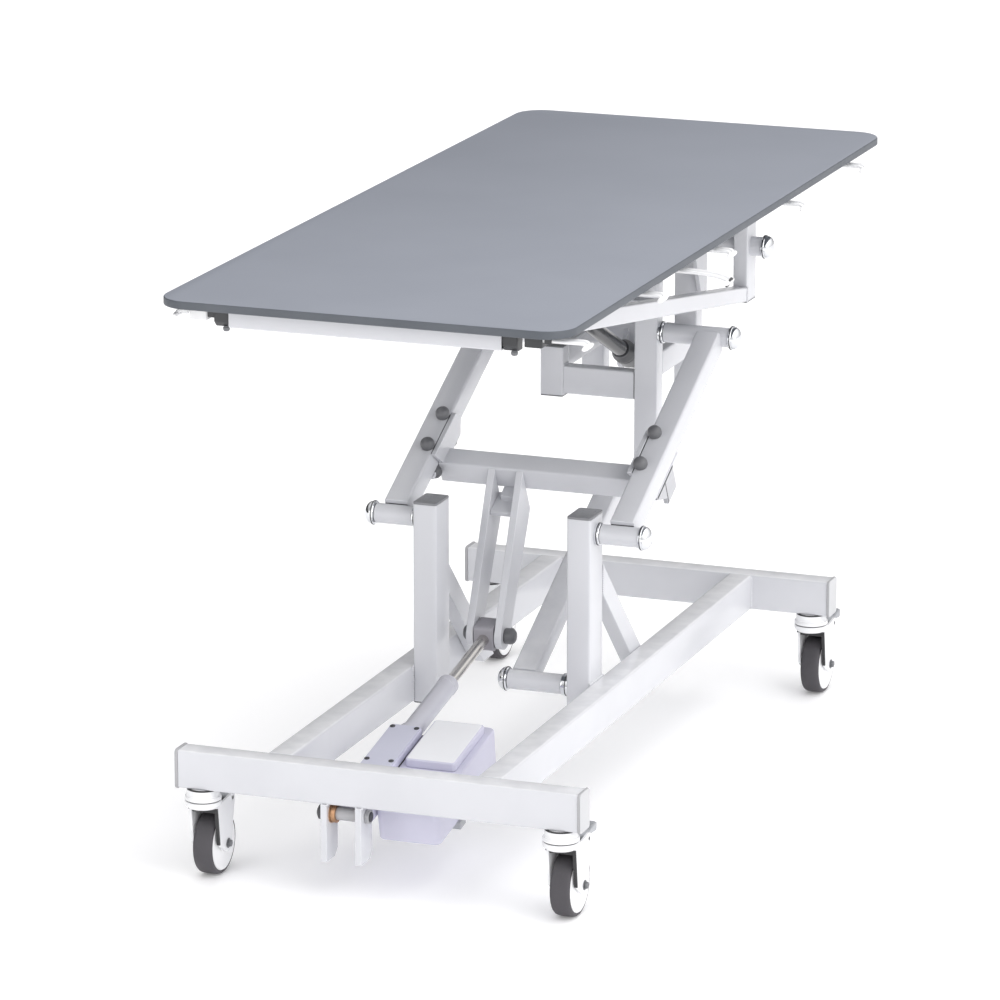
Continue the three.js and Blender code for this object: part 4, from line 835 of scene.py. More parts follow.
RIB_SECTION = (0.0020, 0.0030)
RIB_CORNER = 0.0007
castor_white = finish(
    "castor_white", (0.86, 0.865, 0.875), (0.82, 0.825, 0.84), 0.24, 0.06, 500.0, 0.00002,
    worn=(0.90, 0.90, 0.90),
)
hub_nylon = finish("hub_nylon", (0.88, 0.88, 0.885), (0.85, 0.85, 0.86), 0.40, 0.08, 600.0, 0.00003)
tyre_rubber = finish(
    "tyre_rubber", (0.070, 0.066, 0.074), (0.056, 0.052, 0.059), 0.62, 0.14, 800.0, 0.00012,
)
pedal_grey = finish("pedal_grey", (0.40, 0.41, 0.43), (0.34, 0.35, 0.37), 0.45, 0.12, 600.0, 0.00010)


def mirrored(half):
    """A profile and its mirror image, for a piece that is alike on both sides."""
    return [*half, *[(-along, radius) for along, radius in reversed(half)]]


def arc_points(centre, radius, start, end, steps=12):
    """Points of an arc on Y and Z, from one angle to another in degrees."""
    angles = [math.radians(start + (end - start) * i / steps) for i in range(steps + 1)]
    return [(centre[0] + radius * math.cos(a), centre[1] + radius * math.sin(a)) for a in angles]


for end_name in BEAM_ENDS:
    for side_name in SIDES:
        corner = f"{end_name}_{side_name}"
        swivel = joint_place(f"swivel_{corner}")
        axle = joint_place(f"roll_{corner}")
        brake = joint_place(f"brake_{corner}")
        neck_top = swivel.z - FACE_GAP
        ring_top = neck_top - NECK_HEIGHT
        crown = ring_top - RING_HEIGHT
        head = bmesh.new()
        turned(head, (swivel.x, swivel.y, 0), (0, 0, 1), [
            (crown - FORK_PLATE, RING_RADIUS - 0.004),
            (crown, RING_RADIUS - 0.0004),
            (crown + 0.0010, RING_RADIUS),
            (crown + 0.0064, RING_RADIUS),
            (crown + 0.0070, RING_RADIUS - 0.0022),
            (crown + 0.0082, RING_RADIUS - 0.0022),
            (crown + 0.0088, RING_RADIUS),
            (ring_top - 0.0022, RING_RADIUS),
            (ring_top - 0.0006, RING_RADIUS - 0.0010),
            (ring_top, RING_RADIUS - 0.0026),
            (ring_top + 0.0006, NECK_RADIUS + 0.0006),
            (ring_top + 0.0020, NECK_RADIUS),
            (neck_top - 0.0022, NECK_RADIUS),
            (neck_top - 0.0022, NECK_RADIUS - 0.004),
            (neck_top, NECK_RADIUS - 0.004),
        ])
        leg_front = swivel.y - LEG_FRONT
        leg_foot = (swivel.y + LEG_FOOT, axle.z + 0.006)
        leg_outline = [
            (leg_front, crown - 0.0005),
            leg_foot,
            *arc_points((axle.y, axle.z), AXLE_BOSS, 240, 360),
            *arc_points((brake.y, brake.z), BRAKE_BOSS, 0, 90, 6),
            (swivel.y + RING_RADIUS, crown - 0.0005),
        ]
        # Black pieces that paint shade: a strip on the right leg's front edge, then the slit under the
        # neck, the groove over the crown, the gap under the crown and the top of the left leg.
        painted_shade_pieces = bmesh.new()
        for side in SIDES.values():
            faces = span(side, FORK_INNER, FORK_INNER + FORK_PLATE, axle.x)
            flat_plate(head, leg_outline, *faces)
            if side > 0:
                flat_plate(painted_shade_pieces, [
                    (leg_front - 0.0005, crown - 0.006),
                    (leg_foot[0] - 0.0005, leg_foot[1]),
                    (leg_foot[0] + 0.0030, leg_foot[1]),
                    (leg_front + 0.0030, crown - 0.006),
                ], faces[0] - 0.0004, faces[1] + 0.0004)
        add_piece(f"castor_head_{corner}", head, castor_white, f"castor_{corner}",
                  [f"castor_fork_{corner}"], bevel=0.0008)
        for band in (
            pipe(neck_top - 0.0020, neck_top - 0.0002, NECK_RADIUS - 0.006, NECK_RADIUS - 0.0006),
            pipe(crown + 0.0071, crown + 0.0081, RING_RADIUS - 0.006, RING_RADIUS - 0.0014),
        ):
            turned(painted_shade_pieces, (swivel.x, swivel.y, 0), (0, 0, 1), band, closed=True)
        flat_plate(painted_shade_pieces, [
            (leg_front + 0.002, crown - FORK_PLATE - 0.0002),
            (leg_front + 0.004, crown - 0.0150),
            (swivel.y + 0.045, WHEEL_RADIUS + axle.z + 0.0030),
            (swivel.y + 0.048, crown - FORK_PLATE - 0.0002),
        ], axle.x - FORK_INNER + 0.0006, axle.x + FORK_INNER - 0.0006)
        flat_plate(painted_shade_pieces, [
            (leg_front - 0.0010, crown - FORK_PLATE),
            (leg_front - 0.0006, crown - 0.0100),
            (swivel.y + 0.015, crown - 0.0070),
            (swivel.y + 0.015, crown - FORK_PLATE),
        ], axle.x - FORK_INNER - FORK_PLATE - 0.0006, axle.x + FORK_INNER)
        add_piece(f"castor_painted_shade_{corner}", painted_shade_pieces, black_rubber_and_painted_shade, f"castor_{corner}")
        axle_bolt = bmesh.new()
        axle_face = FORK_INNER + FORK_PLATE
        for side in SIDES.values():
            bolt_face = (axle.x + side * axle_face, axle.y, axle.z)
            turned(axle_bolt, bolt_face, (side, 0, 0), disc(0, *AXLE_WASHER))
            turned(axle_bolt, bolt_face, (side, 0, 0), disc(AXLE_WASHER[0], *AXLE_NUT), steps=6)
        turned(axle_bolt, axle, (1, 0, 0), [(-axle_face, AXLE_RADIUS), (axle_face, AXLE_RADIUS)])
        add_piece(f"axle_bolt_{corner}", axle_bolt, end_cap_grey, f"castor_{corner}")

        rim = WHEEL_RADIUS - TYRE_THICKNESS
        tread = [
            (-TYRE_HALF + 0.0010, rim),
            (-TYRE_HALF, rim + 0.0012),
            (-TYRE_HALF + 0.0006, WHEEL_RADIUS - 0.0030),
            (-TYRE_HALF + 0.0024, WHEEL_RADIUS - 0.0014),
            (-TYRE_HALF + 0.0060, WHEEL_RADIUS - 0.0005),
            (-0.0050, WHEEL_RADIUS),
        ]
        add_turned(f"tyre_{corner}", tyre_rubber, f"wheel_{corner}", "tyre_rubber",
                   [f"castor_wheel_{corner}"], axle, (1, 0, 0), mirrored(tread), closed=True, steps=72)
        hub_side = [
            (-0.0190, 0.0065),
            (-0.0190, 0.0140),
            (-0.0186, 0.0150),
            (-0.0176, 0.0156),
            (-0.0172, 0.0180),
            (-0.0170, 0.0330),
            (-0.0164, 0.0425),
            (-0.0158, rim - 0.0004),
            (-0.0145, rim + 0.0004),
        ]
        add_turned(f"wheel_hub_{corner}", hub_nylon, f"wheel_{corner}", "castor_metal", (),
                   axle, (1, 0, 0), mirrored(hub_side), closed=True, steps=72)

        pedal_half = FORK_INNER - 0.0008
        reach = node_box(f"castor_pedal_{corner}")[1].y - brake.y
        pedal = bmesh.new()
        sections = []
        for share, thickness, sag, width in (
            (-0.06, 0.0050, 0.0, 0.92),
            (0.06, 0.0060, 0.0, 0.96),
            (0.45, 0.0070, 0.0005, 1.0),
            (0.72, 0.0100, 0.0020, 1.0),
            (0.90, 0.0125, 0.0032, 1.0),
            (0.97, 0.0110, 0.0032, 0.98),
            (1.0, 0.0080, 0.0032, 0.94),
        ):
            middle = Vector((brake.x, brake.y + share * reach, brake.z + PEDAL_RISE * share - sag))
            sections.append([
                middle + Vector((u, 0, v))
                for u, v in rounded_section(2 * pedal_half * width, thickness, 0.0014, 3)
            ])
        loft(pedal, sections)
        rib_half = pedal_half * 0.9
        for rib in range(RIB_COUNT):
            share = 0.46 + 0.09 * rib
            rib_place = (brake.y + share * reach, brake.z + PEDAL_RISE * share + 0.0032)
            toe = (brake.x + pedal_half * (rib / 2.5 - 1) * 0.9, brake.y + 0.99 * reach)
            for rib_start, rib_end, section in (
                ((brake.x - rib_half, *rib_place), (brake.x + rib_half, *rib_place), RIB_SECTION),
                ((*toe, brake.z + 0.0015), (*toe, brake.z + 0.0105), RIB_SECTION[::-1]),
            ):
                square_tube(pedal, rib_start, rib_end, (0, 1, 0), *section, corner=RIB_CORNER, hollow=False)
        turned(pedal, brake, (1, 0, 0), disc(-axle_face, 2 * axle_face, PEDAL_PIN))
        add_piece(f"brake_pedal_{corner}", pedal, pedal_grey, f"pedal_{corner}",
                  [f"castor_pedal_{corner}"])

# Lifting arms: two 40 mm square tubes that rise side by side, each coped and welded onto a plain
# sleeve at both ends. A thin black strip paints the shadow line where each arm meets its lower sleeve.
SLEEVE_RADIUS = 0.016
ARM_SECTION = 0.040
SLEEVE_BORE = 0.0114
END_PLAY = 0.0005
arm_run = carriage_pivot - arm_pivot
arm_length = arm_run.length
arm_along = arm_run.normalized()
arm_up = Vector((1, 0, 0)).cross(arm_along)


def on_arm(x, along, above, origin=arm_pivot):
    """A place given along the arm and square to it."""
    return Vector((x, origin.y, origin.z)) + arm_along * along + arm_up * above


def sleeve(mesh, centre, low, high):
    """A bored tube across the end of an arm, with eased rims."""
    eased = 0.0008
    turned(mesh, (0, centre.y, centre.z), (1, 0, 0), [
        (low, SLEEVE_BORE),
        (low, SLEEVE_RADIUS - eased),
        (low + eased, SLEEVE_RADIUS),
        (high - eased, SLEEVE_RADIUS),
        (high, SLEEVE_RADIUS - eased),
        (high, SLEEVE_BORE),
    ], closed=True)


arm_foot = SLEEVE_RADIUS / 2 + 0.004
arm_head = arm_length - SLEEVE_RADIUS / 2 - 0.004
seam_height = SLEEVE_RADIUS - 0.003
arm_seams = []
foot_shadow_lines = bmesh.new()
for side_name, side in SIDES.items():
    arm_low, arm_high = node_box(f"lift_arm_{side_name}")
    outer = max(abs(arm_low.x), abs(arm_high.x))
    upper_inner = min(abs(arm_low.x), abs(arm_high.x))
    pin_low, pin_high = node_box(f"arm_pin_{side_name}")
    lower_inner = min(abs(pin_low.x), abs(pin_high.x)) + SHORT_COLLAR + END_PLAY
    arm_x = side * (lower_inner + outer) / 2
    add_tube(
        f"lifting_arm_{side_name}", "lift_arms", f"lift_arm_{side_name}",
        on_arm(arm_x, arm_foot, 0), on_arm(arm_x, arm_head, 0), (1, 0, 0),
        ARM_SECTION, ARM_SECTION, hollow=False,
    )
    sleeves = bmesh.new()
    sleeve(sleeves, arm_pivot, *span(side, lower_inner, outer))
    sleeve(sleeves, carriage_pivot, *span(side, upper_inner, outer))
    add_coated(f"arm_sleeves_{side_name}", sleeves, "lift_arms")
    for along, above in ((arm_foot, -seam_height), (arm_head, -seam_height), (arm_head, seam_height)):
        arm_seams.append((
            on_arm(arm_x - ARM_SECTION / 2 + 0.003, along, above),
            on_arm(arm_x + ARM_SECTION / 2 - 0.003, along, above),
        ))
    # A thin black strip across the arm's foot: a painted shadow line at the lower sleeve.
    square_tube(
        foot_shadow_lines,
        on_arm(arm_x - ARM_SECTION / 2 + 0.001, SLEEVE_RADIUS / 2 + 0.0036, SLEEVE_RADIUS - 0.0046),
        on_arm(arm_x + ARM_SECTION / 2 - 0.001, SLEEVE_RADIUS / 2 + 0.0036, SLEEVE_RADIUS - 0.0046),
        arm_up,
        0.0022,
        0.0016,
        corner=0.0005,
        hollow=False,
    )
weld("arm_welds", arm_seams, "lift_arms")
add_piece("arm_foot_shadow_lines", foot_shadow_lines, black_rubber_and_painted_shade, "lift_arms")
ARM_X = abs(arm_x)

# Cross beam: a square tube that ties the arms together, welded at each end to a bracket of an inner
# web, a flange under the arm and a side plate. Two bolts with ball caps hold each bracket, nuts below.
# The side plates are mid-grey, painted shade on white plates, and thin black strips paint shade down each
# side plate's front and along each arm's inner top edge under the caps.
BEAM_ALONG = 0.167
BEAM_ABOVE = -0.034
BEAM_SECTION = 0.040
BRACKET_PLATE = 0.008
BRACKET_FLANGE = 0.006
BRACKET_LEAD = 0.028
BRACKET_REACH = 0.046
SIDE_PLATE_FRONT = 0.159
SIDE_PLATE_REAR = 0.203
SIDE_PLATE_FOOT = -0.068
GUSSET_FOOT = -0.056
BOLT_PLACES = (0.145, 0.222)
BOLT_INSET = 0.0095
BOLT_CAP_RADIUS = 0.0118
BOLT_CAP_LIFT = 0.0060
charcoal_cap = finish(
    "charcoal_cap", (0.150, 0.152, 0.160), (0.118, 0.120, 0.128), 0.38, 0.10, 700.0, 0.00006,
)
# Mid-grey for the side plates, which are white: the grey is painted shade.
plate_grey_painted_shade = finish(
    "plate_grey_painted_shade", (0.47, 0.475, 0.50), (0.44, 0.445, 0.47), 0.30, 0.06, 900.0, 0.00002,
    worn=(0.60, 0.605, 0.62),
)
arm_inner = ARM_X - ARM_SECTION / 2
arm_outer = arm_inner + ARM_SECTION
beam_front = BEAM_ALONG - BEAM_SECTION / 2
beam_rear = BEAM_ALONG + BEAM_SECTION / 2
add_tube(
    "arm_cross_tube", "lift_arms", "arm_cross_beam",
    on_arm(-arm_inner + FACE_GAP, BEAM_ALONG, BEAM_ABOVE),
    on_arm(arm_inner - FACE_GAP, BEAM_ALONG, BEAM_ABOVE),
    arm_along, BEAM_SECTION, BEAM_SECTION,
)


def on_arm_plate(mesh, outline, low, high):
    """Plate whose outline is drawn along the arm and square to it, between two places on X."""
    loft(mesh, [[on_arm(x, along, above) for along, above in outline] for x in (low, high)])


brackets = bmesh.new()
side_plates = bmesh.new()
under_arm = -ARM_SECTION / 2 - FACE_GAP
bracket_start = beam_front - BRACKET_LEAD
bracket_end = beam_rear + BRACKET_REACH
painted_shade_lines = bmesh.new()
for side in SIDES.values():
    on_arm_plate(brackets, [
        (beam_front + 0.005, BEAM_ABOVE + BEAM_SECTION / 2 - 0.005),
        (beam_rear - 0.005, BEAM_ABOVE + BEAM_SECTION / 2 - 0.005),
        (beam_rear - 0.005, under_arm - BRACKET_FLANGE),
        (bracket_end, under_arm - BRACKET_FLANGE),
        (bracket_end + 2 * BRACKET_PLATE, 0),
        (bracket_end, ARM_SECTION / 2),
        (bracket_start + BRACKET_PLATE, ARM_SECTION / 2),
    ], *span(side, arm_inner - FACE_GAP, arm_inner - BRACKET_PLATE))
    on_arm_plate(brackets, [
        (bracket_start, under_arm - BRACKET_FLANGE),
        (bracket_end, under_arm - BRACKET_FLANGE),
        (bracket_end, under_arm),
        (bracket_start, under_arm),
    ], *span(side, arm_inner - 0.001, arm_outer))
    on_arm_plate(side_plates, [
        (bracket_start, under_arm - 0.0005),
        (bracket_start, under_arm - BRACKET_FLANGE),
        (SIDE_PLATE_FRONT, GUSSET_FOOT),
        (SIDE_PLATE_FRONT, SIDE_PLATE_FOOT),
        (SIDE_PLATE_REAR, SIDE_PLATE_FOOT),
        (SIDE_PLATE_REAR, under_arm - 0.0005),
    ], *span(side, arm_outer - BRACKET_PLATE, arm_outer))
    # Black strips that paint shade: down the side plate's front, and along the arm's inner top edge under
    # the bolt caps.
    on_arm_plate(painted_shade_lines, [
        (SIDE_PLATE_FRONT + 0.001, under_arm - BRACKET_FLANGE),
        (SIDE_PLATE_FRONT + 0.001, SIDE_PLATE_FOOT + 0.001),
        (SIDE_PLATE_FRONT + 0.0028, SIDE_PLATE_FOOT + 0.001),
        (SIDE_PLATE_FRONT + 0.0028, under_arm - BRACKET_FLANGE),
    ], *span(side, arm_outer - 0.002, arm_outer + FACE_GAP))
    on_arm_plate(painted_shade_lines, [
        (bracket_start + BRACKET_PLATE + 0.004, ARM_SECTION / 2 - 0.004),
        (bracket_end - 0.004, ARM_SECTION / 2 - 0.004),
        (bracket_end - 0.004, ARM_SECTION / 2 - 0.0012),
        (bracket_start + BRACKET_PLATE + 0.004, ARM_SECTION / 2 - 0.0012),
    ], *span(side, arm_inner - 0.0012, arm_inner + 0.0012))
add_coated("arm_brackets", brackets, "lift_arms", bevel=0.0010)
add_piece("arm_side_plates", side_plates, plate_grey_painted_shade, "lift_arms", bevel=0.0010)
add_piece("arm_bracket_shade_lines", painted_shade_lines, black_rubber_and_painted_shade, "lift_arms")


def bolt_tree():
    """Domed cap on a thin washer, stood on each place along the way that the place faces."""
    tree, given = geometry_tree(
        "domed_bolts", ("Cap Radius", "Cap Height", "Washer Radius", "Facing Y", "Facing Z")
    )
    dome = add_node(
        tree,
        "GeometryNodeMeshUVSphere",
        {"Segments": 32, "Rings": 16, "Radius": given.outputs["Cap Radius"]},
    )
    flatness = worked_out(tree, "DIVIDE", given.outputs["Cap Height"], given.outputs["Cap Radius"])
    squeeze = add_node(tree, "ShaderNodeCombineXYZ", {0: 1.0, 1: 1.0, 2: flatness})
    flat_dome = add_node(
        tree,
        "GeometryNodeTransform",
        {"Geometry": dome.outputs[0], "Scale": squeeze.outputs[0]},
    )
    washer = add_node(
        tree,
        "GeometryNodeMeshCylinder",
        {"Vertices": 40, "Radius": given.outputs["Washer Radius"], "Depth": 0.0016},
    )
    both = add_node(tree, "GeometryNodeJoinGeometry", {0: flat_dome.outputs[0]})
    tree.links.new(washer.outputs[0], both.inputs[0])
    facing = add_node(
        tree,
        "ShaderNodeCombineXYZ",
        {0: 0.0, 1: given.outputs["Facing Y"], 2: given.outputs["Facing Z"]},
    )
    turn = add_node(tree, "FunctionNodeAlignRotationToVector", {"Vector": facing.outputs[0]}, axis="Z")
    stood = add_node(
        tree,
        "GeometryNodeInstanceOnPoints",
        {"Points": given.outputs["Geometry"], "Instance": both.outputs[0], "Rotation": turn.outputs[0]},
    )
    end_tree(tree, given, stood.outputs[0])
    return tree


BOLT_TREE = bolt_tree()
for row_name, above, facing, cap_height, washer, shift in (
    ("arm_bolt_caps", ARM_SECTION / 2 + BOLT_CAP_LIFT, 1, BOLT_CAP_RADIUS, BOLT_CAP_RADIUS * 0.8, 0.0),
    ("arm_bolt_nuts", under_arm - BRACKET_FLANGE - 0.0004, -1, 0.0110, 0.0100, 0.006),
):
    places = [
        tuple(on_arm(side * (ARM_X - BOLT_INSET - shift), along - shift, above))
        for side in SIDES.values()
        for along in BOLT_PLACES
    ]
    plain_mesh(
        row_name,
        places,
        [],
        BOLT_TREE,
        {
            "Cap Radius": BOLT_CAP_RADIUS,
            "Cap Height": cap_height,
            "Washer Radius": washer,
            "Facing Y": facing * arm_up.y,
            "Facing Z": facing * arm_up.z,
        },
        charcoal_cap,
        "lift_arms",
    )

# Lift lever: two thick steel plates that hang forward from the cross beam, welded to it and tied near
# the top by a spacer and a block. The ram's eye turns between them on a pin with charcoal caps.
LEVER_PLATE = 0.012
LEVER_GAP = 0.036
LEVER_DEPTH = 0.061
LEVER_TIP = 0.0225
LEVER_SLOPE = 38.9
LEVER_END = (-0.0387, -0.2052)
LEVER_SPACER_START = 0.097
LEVER_SPACER_TOP = -0.064
LEVER_SPACER_THICKNESS = 0.008
LEVER_CAP_RADIUS = 0.013
LEVER_CAP_LENGTH = 0.010
RIGHT_CAP_LONGER = 0.007
LEVER_PIN_RADIUS = 0.006
lever_turn = math.radians(LEVER_SLOPE)
lever_half = LEVER_DEPTH / 2


def on_lever(along, across):
    """A place given along the lever and square to it, as a pair along and above the arm."""
    return (
        LEVER_END[0] + along * math.cos(lever_turn) - across * math.sin(lever_turn),
        LEVER_END[1] + along * math.sin(lever_turn) + across * math.cos(lever_turn),
    )


def lever_reach(across):
    """How far along the lever its edge meets the cross beam's front face."""
    return (beam_front - LEVER_END[0] + across * math.sin(lever_turn)) / math.cos(lever_turn)


lever = bmesh.new()
lever_round = arc_points(LEVER_END, LEVER_TIP, LEVER_SLOPE + 96, LEVER_SLOPE + 264, 20)
for side in SIDES.values():
    on_arm_plate(lever, [
        on_lever(lever_reach(lever_half), lever_half),
        *lever_round,
        on_lever(lever_reach(-lever_half), -lever_half),
    ], *span(side, LEVER_GAP / 2, LEVER_GAP / 2 + LEVER_PLATE, lift_tail.x))
spacer_under = LEVER_SPACER_TOP - LEVER_SPACER_THICKNESS
on_arm_plate(lever, [
    (LEVER_SPACER_START, LEVER_SPACER_TOP),
    (LEVER_SPACER_START, spacer_under),
    (beam_front - FACE_GAP, spacer_under),
    (beam_front - FACE_GAP, LEVER_SPACER_TOP),
], lift_tail.x - LEVER_GAP / 2, lift_tail.x + LEVER_GAP / 2)
on_arm_plate(lever, [
    (beam_front - 0.020, LEVER_SPACER_TOP - 0.001),
    (beam_front + 0.004, LEVER_SPACER_TOP - 0.001),
    (beam_front + 0.004, BEAM_ABOVE - BEAM_SECTION / 2 + 0.001),
    (beam_front - 0.020, BEAM_ABOVE - BEAM_SECTION / 2 - 0.001),
], lift_tail.x - LEVER_GAP / 2 + 0.009, lift_tail.x + LEVER_GAP / 2)
add_coated("lift_lever_plates", lever, "lift_arms", ["lift_lever"], bevel=0.0012)
lever_eye = on_arm(lift_tail.x, *LEVER_END)
lever_pin_low, lever_pin_high = node_box("lift_lever_pin")
lever_pin = bmesh.new()
for face, way, longer in ((lever_pin_low.x, 1, 0.0), (lever_pin_high.x, -1, RIGHT_CAP_LONGER)):
    turned(lever_pin, (face + longer, lever_eye.y, lever_eye.z), (way, 0, 0), [
        (0.0, 0.0070),
        (0.0006, 0.0086),
        (0.0022, 0.0108),
        (0.0045, 0.0124),
        (0.0070, LEVER_CAP_RADIUS),
        (LEVER_CAP_LENGTH + longer - 0.0006, LEVER_CAP_RADIUS),
        (LEVER_CAP_LENGTH + longer, LEVER_CAP_RADIUS - 0.0006),
    ])
turned(lever_pin, (0, lever_eye.y, lever_eye.z), (1, 0, 0), [
    (lever_pin_low.x + LEVER_CAP_LENGTH, LEVER_PIN_RADIUS),
    (lever_pin_high.x - LEVER_CAP_LENGTH, LEVER_PIN_RADIUS),
])
add_piece("lift_lever_pin_caps", lever_pin, charcoal_cap, "lift_arms", ["lift_lever_pin"])

# Parallel link: one flat tube right of the middle with a sleeve at each end.
# It runs below the arms and keeps the carriage upright as they rise.
LINK_X = 0.027
LINK_WIDTH = 0.040
LINK_HEIGHT = 0.030
link_low, link_high = node_box("parallel_link")
upper_pin_end = node_box("link_pin_upper")[1].x
add_tube(
    "link_tube", "parallel_link", "parallel_link",
    on_arm(LINK_X, SLEEVE_RADIUS / 2 + 0.003, 0, link_pivot),
    on_arm(LINK_X, arm_length - SLEEVE_RADIUS / 2 - 0.003, 0, link_pivot),
    (1, 0, 0), LINK_WIDTH, LINK_HEIGHT, hollow=False,
)
link_sleeves = bmesh.new()
sleeve(link_sleeves, link_pivot, link_low.x, link_high.x)
sleeve(link_sleeves, link_top, link_low.x, upper_pin_end - SHORT_COLLAR - END_PLAY)
add_coated("link_sleeves", link_sleeves, "parallel_link")

# Carriage: four posts of 40 x 30 mm tube, two of them carrying the arms' upper pins,
# joined by a front tie, a rear tie and two side bars. Thin dark caps close the tube ends.
# The left front post stops at its side bar, where a flat ear carries the arm's pin.
POST_WIDTH = 0.040
POST_DEPTH = 0.030
THIN_WALL = 0.0025
THIN_CORNER = 0.003
REAR_SETBACK = 0.205
HINGE_PLATE = 0.008
HINGE_EAR = 0.024
HINGE_TAIL = 0.060
PIN_EAR = 0.018
PIN_EAR_FOOT = 0.010
PIN_EAR_TAIL = 0.075
carriage_seams = []
thin_caps = bmesh.new()
post_top = node_box("carriage_front_post_right")[1].z
for side_name, side in SIDES.items():
    front_low, front_high = node_box(f"carriage_front_post_{side_name}")
    rear_foot = node_box(f"carriage_rear_post_{side_name}")[0].z
    post_x, front_y, _ = middle_of(front_low, front_high)
    rear_y = front_y + REAR_SETBACK
    bar_low, bar_high = node_box(f"carriage_side_bar_{side_name}")
    front_top = bar_high.z if side < 0 else post_top
    for row_name, y, low_z, high_z in (
        ("front", front_y, front_low.z, front_top),
        ("rear", rear_y, rear_foot, post_top),
    ):
        add_tube(
            f"carriage_{row_name}_upright_{side_name}", "carriage", f"carriage_{row_name}_post_{side_name}",
            (post_x, y, low_z + FOOT_PLATE), (post_x, y, high_z - FOOT_PLATE), (1, 0, 0),
            POST_WIDTH, POST_DEPTH, wall=THIN_WALL, corner=THIN_CORNER,
        )
        for cap_low in (low_z, high_z - FOOT_PLATE):
            square_tube(thin_caps, (post_x, y, cap_low), (post_x, y, cap_low + FOOT_PLATE), (1, 0, 0),
                        POST_WIDTH, POST_DEPTH, corner=THIN_CORNER, hollow=False)
    outer = post_x + side * POST_WIDTH / 2
    add_plate(f"hinge_ear_{side_name}", "carriage", (), 0.0010, [
        (rear_y + POST_DEPTH / 2, post_top),
        (hinge_pivot.y + HINGE_EAR, hinge_pivot.z),
        *arc_points((hinge_pivot.y, hinge_pivot.z), HINGE_EAR, 0, 180, 18)[1:-1],
        (hinge_pivot.y - HINGE_EAR, hinge_pivot.z),
        (rear_y - POST_DEPTH / 2, post_top - HINGE_TAIL),
        (rear_y + POST_DEPTH / 2, post_top - HINGE_TAIL),
    ], *span(side, 0.0, HINGE_PLATE - FACE_GAP, outer))
    bar_z = middle_of(bar_low, bar_high).z
    bar_ends = (front_y + POST_DEPTH / 2, rear_y - POST_DEPTH / 2)
    add_tube(
        f"carriage_bar_{side_name}", "carriage", f"carriage_side_bar_{side_name}",
        (post_x, bar_ends[0], bar_z), (post_x, bar_ends[1], bar_z), (1, 0, 0),
        POST_WIDTH, bar_high.z - bar_low.z, wall=THIN_WALL, corner=THIN_CORNER,
    )
    for y in bar_ends:
        for z in (bar_low.z, bar_high.z):
            carriage_seams.append((
                (post_x - POST_WIDTH / 2 + 0.004, y, z),
                (post_x + POST_WIDTH / 2 - 0.004, y, z),
            ))
add_piece("carriage_tube_caps", thin_caps, dark_plug, "carriage")
left_face = node_box("carriage_front_post_left")[0].x
add_plate("arm_pin_ear_left", "carriage", (), 0.0008, [
    (carriage_pivot.y - PIN_EAR_FOOT, carriage_pivot.z - PIN_EAR_TAIL),
    (carriage_pivot.y + PIN_EAR_FOOT, carriage_pivot.z - PIN_EAR_TAIL),
    *arc_points((carriage_pivot.y, carriage_pivot.z), PIN_EAR, 0, 180, 18),
], left_face, left_face + HINGE_PLATE)

TIE_GASKET = 0.0012
TIE_EAR_GAP = 0.036
TIE_EAR_PLATE = 0.008
TIE_EAR_RADIUS = 0.015
TIE_PIN_RADIUS = 0.006
tie_low, tie_high = node_box("carriage_front_tie")
tie_end = node_box("carriage_front_post_right")[0].x
_, tie_y, tie_z = middle_of(tie_low, tie_high)
_, tie_depth, tie_height = tie_high - tie_low
add_tube(
    "carriage_tie_front", "carriage", "carriage_front_tie",
    (-tie_end, tie_y, tie_z), (tie_end - TIE_GASKET, tie_y, tie_z), (0, 1, 0),
    tie_depth, tie_height, wall=THIN_WALL, corner=THIN_CORNER,
)
tie_gasket = bmesh.new()
square_tube(tie_gasket, (tie_end - TIE_GASKET, tie_y, tie_z), (tie_end + 0.0002, tie_y, tie_z), (0, 1, 0),
            tie_depth, tie_height, corner=THIN_CORNER, hollow=False)
add_piece("carriage_tie_gasket", tie_gasket, black_rubber_and_painted_shade, "carriage")
for z in (tie_low.z, tie_high.z):
    carriage_seams.append(((-tie_end, tie_low.y + 0.003, z), (-tie_end, tie_high.y - 0.003, z)))


def pin_ears(mesh, root, tip, root_half):
    """Two ears from a tube's face to a pin, with the pin through both."""
    run = Vector(tip) - Vector(root)
    along = run.normalized()
    up = Vector((1, 0, 0)).cross(along)
    reach = run.length
    outline = [(0, -root_half), (reach, -TIE_EAR_RADIUS)]
    outline += [
        (reach + TIE_EAR_RADIUS * math.cos(a), TIE_EAR_RADIUS * math.sin(a))
        for a in [math.radians(-90 + 15 * i) for i in range(1, 12)]
    ]
    outline += [(reach, TIE_EAR_RADIUS), (0, root_half)]
    for side in SIDES.values():
        faces = span(side, TIE_EAR_GAP / 2, TIE_EAR_GAP / 2 + TIE_EAR_PLATE)
        loft(mesh, [
            [Vector((x, root[1], root[2])) + along * u + up * v for u, v in outline]
            for x in faces
        ])
    half = TIE_EAR_GAP / 2 + TIE_EAR_PLATE + 0.002
    turned(mesh, tip, (1, 0, 0), disc(-half, 2 * half, TIE_PIN_RADIUS))


